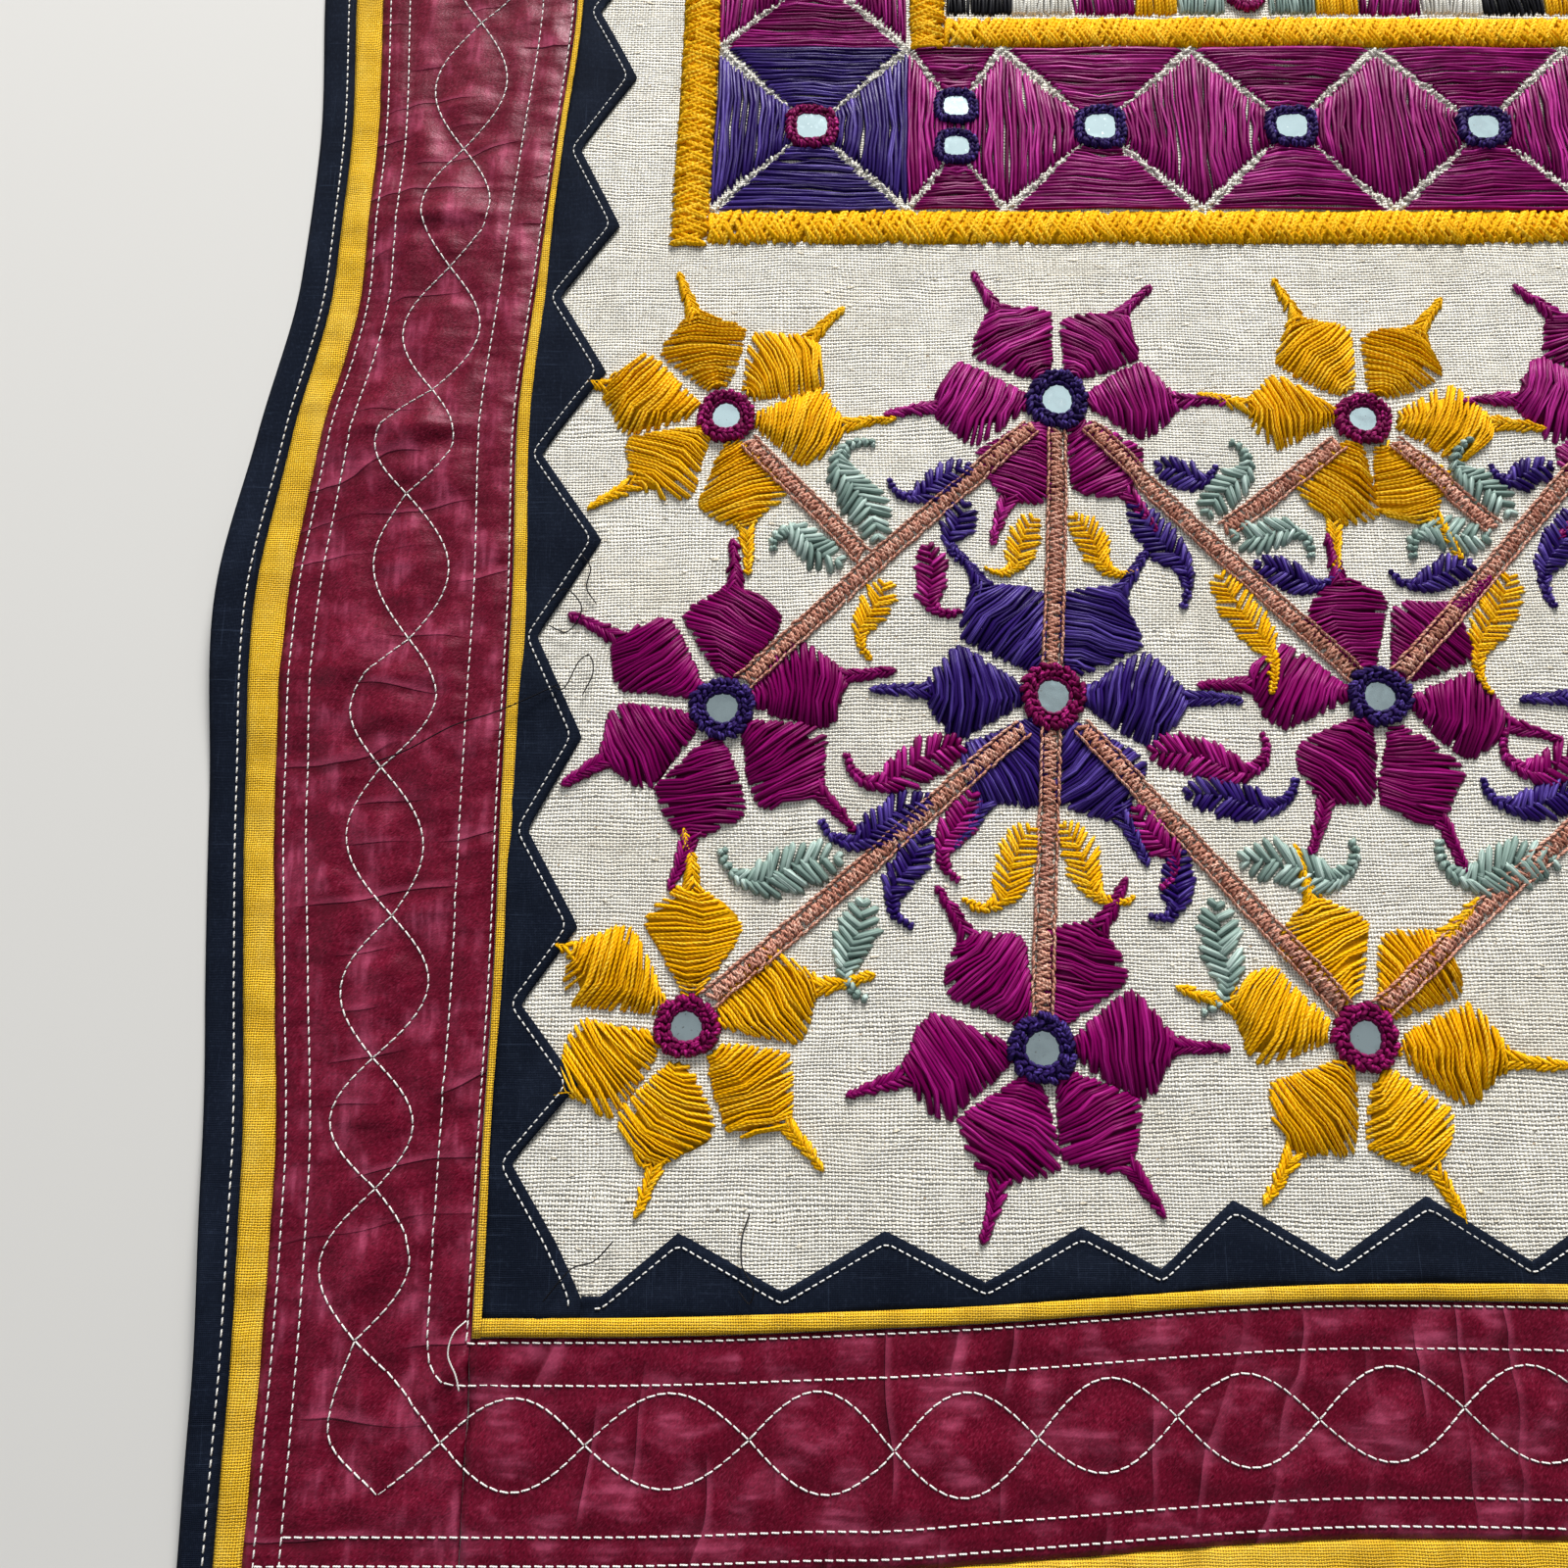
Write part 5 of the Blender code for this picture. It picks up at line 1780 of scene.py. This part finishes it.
def make_frame(looks):
    """The patterned frame, its bands and its inner panel. Gives the rings of their mirrors."""
    names = ("yellow", "magenta", "purple", "mint", "charcoal", "natural", "braid")
    yarns = {name: Yarn() for name in names}
    rings = []
    for number, block in enumerate(frame_blocks()):
        satin_block(yarns, block, BLOCK_SEED + 10 * number)
        for height in sorted(set(block.rings)):
            outer = BLOCK_RING if block.x1 - block.x0 > NARROW_BLOCK else PAIRED_RING
            rings.append(Ring((block.x0 + block.x1) / 2, height, outer, block.ring_colour, 1.0))
    braid_frame(yarns["braid"], FRAME_WIDE, FRAME_LONG, OUTER_BRAID, OUTER_BRAID_SEED)
    braid_frame(
        yarns["braid"], PANEL_WIDE + INNER_BRAID, PANEL_LONG + INNER_BRAID, INNER_BRAID, INNER_BRAID_SEED
    )
    for flip, base in ((1, -PANEL_LONG), (-1, PANEL_LONG - PANEL_DEEP)):
        def ends(at, low=base + UPRIGHT_END, high=base + PANEL_DEEP - UPRIGHT_END):
            return np.full(len(at), low), np.full(len(at), high)

        for number, upright in enumerate(PANEL_BLOCKS):
            low, high = sorted((upright.low * flip, upright.high * flip))
            low, high = low + UPRIGHT_SIDE, high - UPRIGHT_SIDE
            satin_rows(yarns[upright.colour], low, high, ends, True, UPRIGHT_SEED + number)
        rings.append(Ring(PANEL_RING_AT[0] * flip, PANEL_RING_AT[1] * flip, PANEL_RING, "magenta", 0.0))
    half_long = PANEL_LONG - PANEL_DEEP - PANEL_GAP
    wide = 2 * PANEL_WIDE / DIAMONDS
    for number in range(DIAMONDS):
        x0 = -PANEL_WIDE + number * wide
        colours = (("magenta", "purple"), ("purple", "magenta"))[number % 2]
        diamond = Block(x0, -half_long, x0 + wide, half_long, (0.0, 0.0), *colours)
        satin_block(yarns, diamond, DIAMOND_SEED + 10 * number)
        rings.append(Ring(x0 + wide / 2, 0.0, DIAMOND_RING, colours[1], 1.0))
    for name, yarn in yarns.items():
        for points in yarn.points:
            points[:, 0] = flared(points[:, 0], points[:, 1])
        if name == "braid":
            yarn.made("yellow_braid_bands", looks["yellow"], "yellow_thread")
        else:
            yarn.made(f"{name}_frame_satin", looks[name], f"{name}_thread")
    return [ring._replace(x=flared(ring.x, ring.y)) for ring in rings]


def mirror_disc(bm, x, y, radius, rise, seed):
    """Adds one thin round glass with a softened rim, lying as the cloth under it lies."""
    roll = np.random.default_rng(seed)
    made = bmesh.ops.create_cone(
        bm, cap_ends=True, segments=GLASS_SIDES, depth=GLASS_THICK * MM,
        radius1=radius * MM, radius2=radius * MM,
    )["verts"]
    step = radius * GLASS_SPAN
    ground = field_top(x + step * np.array([0, 1, -1, 0, 0]), y + step * np.array([0, 0, 0, 1, -1]))
    middle, east, north = ground[0], ground[1] - ground[2], ground[3] - ground[4]
    phase = roll.uniform(0, math.tau, 2)
    for vertex in made:
        turn = math.atan2(vertex.co.y, vertex.co.x)
        grow = 1 + 0.03 * math.sin(3 * turn + phase[0]) + 0.02 * math.sin(5 * turn + phase[1])
        dx, dy = vertex.co.x * grow, vertex.co.y * grow
        slope = (dx * east + dy * north) / (2 * step)
        vertex.co = Vector((x * MM + dx, y * MM + dy, vertex.co.z + slope + (middle + rise) * MM))
    edges = dict.fromkeys(edge for vertex in made for edge in vertex.link_edges)
    rim = [edge for edge in edges if edge.calc_face_angle(0) > 1]
    bmesh.ops.bevel(
        bm, geom=rim, offset=GLASS_BEVEL * MM, segments=1, profile=0.5, affect="EDGES", material=-1
    )


def in_order(bm):
    """A mesh's points, no loose edges and its faces, in the same order in every run."""
    points = sorted(tuple(vertex.co) for vertex in bm.verts)
    numbers = {point: number for number, point in enumerate(points)}
    faces = []
    for face in bm.faces:
        corners = [numbers[tuple(vertex.co)] for vertex in face.verts]
        first = corners.index(min(corners))
        faces.append(corners[first:] + corners[:first])
    return points, [], sorted(faces)


def make_mirrors(name, rings, rise, finish, nodes):
    """Many small mirrors as one joined mesh, one in each thread ring."""
    bm = bmesh.new()
    for number, ring in enumerate(rings):
        mirror_disc(bm, ring.x, ring.y, ring.outer * GLASS_SHARE, rise, MIRROR_SEED + number)
    mesh = bpy.data.meshes.new(name)
    mesh.from_pydata(*in_order(bm))
    bm.free()
    made = keep(name, mesh, finish)
    flat = [abs(face.normal.z) > 0.9 and len(face.vertices) > 4 for face in mesh.polygons]
    mesh.polygons.foreach_set("use_smooth", [not level for level in flat])
    settle(made, "mirror_glass", *nodes)


def make_petals(petals, looks):
    """The satin petals and their long points, as two pieces for each colour."""
    for colour, stitch in PETAL_STITCHES.items():
        yarn, points = Yarn(), Yarn()
        for index, petal in enumerate(petals):
            if petal.colour == colour:
                lay_petal(yarn, petal, stitch, PETAL_SEED + index)
                lay_point(points, petal, stitch.point_half, POINT_SEED + index)
        yarn.made(f"{colour}_petals", looks[colour], f"{colour}_thread")
        points.made(f"{colour}_petal_points", looks[colour], f"{colour}_thread")


def make_leaves(petals, looks):
    """The fishbone leaves and the braided stems, which lie over the petals where they meet."""
    def on_petals(x, y):
        return field_top(x, y) + petal_height(petals, x, y)

    leaves = plants(LEAVES)
    for colour, stitch in LEAF_STITCHES.items():
        yarn = Yarn()
        for index, leaf in enumerate(leaves):
            if leaf.colour == colour:
                spine = leaf_spine(leaf)
                scale = np.clip(length_of(spine) / LEAF_LONG, *LEAF_SCALES) * stitch.scale
                widths = (LEAF_SHARE, [wide * scale for wide in LEAF_HALF])
                fishbone(yarn, spine, widths, stitch.pitch, stitch.half, on_petals, LEAF_SEED + index)
        yarn.made(f"{colour}_leaves", looks[colour], f"{colour}_thread")
    stems = Yarn()
    for index, stem in enumerate(plants(STEMS)):
        lay_stem(stems, stem, on_petals, STEM_SEED + index)
    stems.made("braided_stems", looks["rose_brown"], "rose_brown_thread")


def make_mirror_work(frame_rings, looks):
    """The thread rings of the flowers and the frame, and the mirrors that they hold."""
    flower_rings = []
    for flower in flower_rows():
        outer = YELLOW_FLOWER_RING if flower.petals == "yellow" else FLOWER_RING
        flower_rings.append(Ring(flower.x, flower.y, outer, flower.ring, 0.0))
    hoops = {"magenta": Yarn(), "purple": Yarn()}
    for index, ring in enumerate(flower_rings + frame_rings):
        lay_ring(hoops[ring.colour], ring, RING_SEED + index)
    for colour, yarn in hoops.items():
        yarn.made(f"{colour}_mirror_rings", looks[f"{colour}_ring"], f"{colour}_thread")
    nodes = [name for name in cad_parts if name.startswith("mirror_")]
    make_mirrors("flower_mirrors", flower_rings, FLOWER_GLASS_RISE, looks["glass"], nodes)
    make_mirrors("frame_mirrors", frame_rings, FRAME_GLASS_RISE, looks["glass"], [])


def make_loose_ends(looks):
    """Thin thread ends that curl over the teeth and the panel, and a white one at a corner."""
    dark, pale = Yarn(), Yarn()

    def loose(yarn, rows, half):
        line = through(rows)
        path = laid(field_top, line[:, :2], np.maximum(line[:, 2], LOOSE_LEAST_RISE))
        yarn.lay(path[None], half, half, 0.6)

    for rows in LOOSE_ENDS:
        loose(dark, rows, LOOSE_HALF)
        loose(dark, [(-x, -y, rise) for x, y, rise in rows], LOOSE_HALF)
    loose(pale, LOOSE_WHITE_END, LOOSE_WHITE_HALF)
    dark.made("loose_thread_ends", looks["charcoal"], "charcoal_thread")
    pale.made("loose_white_end", looks["sewing"], "white_sewing_thread")


def make_stage():
    """A pale floor, soft lights and the photograph's camera."""
    bpy.ops.mesh.primitive_plane_add(size=FLOOR_SIZE, location=FLOOR_AT)
    floor = bpy.context.object
    floor.name = "floor"
    look = Look("pale_floor", roughness=0.9)
    look.set(Base_Color=(0.62, 0.61, 0.59))
    floor.data.materials.append(look.material)

    world = bpy.data.worlds.new("studio")
    world.use_nodes = True
    sky = world.node_tree.nodes["Background"].inputs
    sky["Color"].default_value = SKY_COLOUR
    sky["Strength"].default_value = SKY_POWER
    bpy.context.scene.world = world
    for lamp in LAMPS:
        data = bpy.data.lights.new(lamp.name, "AREA")
        data.size = lamp.size
        data.energy = lamp.power
        data.color = lamp.colour
        light = bpy.data.objects.new(lamp.name, data)
        light.location = lamp.where
        facing = Vector(LAMPS_FACE) - Vector(lamp.where)
        light.rotation_euler = facing.to_track_quat("-Z", "Y").to_euler()
        bpy.context.scene.collection.objects.link(light)

    data = bpy.data.cameras.new("camera")
    data.lens = CAMERA_LENS
    data.sensor_width = 36.0
    data.clip_start = 0.01
    camera = bpy.data.objects.new("camera", data)
    camera.location = CAMERA_AT
    camera.rotation_euler = (math.radians(CAMERA_TILT), 0, 0)
    bpy.context.scene.collection.objects.link(camera)
    bpy.context.scene.camera = camera
    bpy.context.scene.view_settings.view_transform = "Standard"


def main():
    """Makes the stage and the finishes, and then every piece from the cloths up."""
    make_stage()
    natural = natural_cloth()
    finishes = {
        "maroon_satin": satin_cloth(),
        "navy_cotton": dyed_weave(
            "navy_cotton", base=(0.0066, 0.0102, 0.021), dark=(0.0015, 0.0025, 0.006),
            light=(0.020, 0.028, 0.050), pitch=0.44, depth=0.00014, roughness=0.9,
            fleck=(0.05, 0.07, 0.12),
        ),
        "yellow_cotton": dyed_weave(
            "yellow_cotton", base=(0.95, 0.57, 0.035), dark=(0.16, 0.055, 0.001),
            light=(1.0, 0.70, 0.13), pitch=0.68, depth=0.00036, roughness=0.85, gap=(0.32, 0.78),
        ),
    }
    looks = {thread.key: thread_look(thread) for thread in THREADS}
    looks["glass"] = glass_look()

    make_field(natural)
    lines = border_lines()
    tree = tree_of(lines + [turned(line) for line in lines])
    for side in SIDES:
        make_quilted(side, tree, finishes)
        for form in EDGE_STRIPS:
            make_edge_strip(side, form, finishes)
        make_piping(side, finishes)
        make_toothed(side, finishes)
    make_stitches(lines, tree, looks["sewing"])
    make_loose_ends(looks)
    petals = petal_rows()
    make_petals(petals, looks)
    make_leaves(petals, looks)
    make_mirror_work(make_frame(looks), looks)


main()
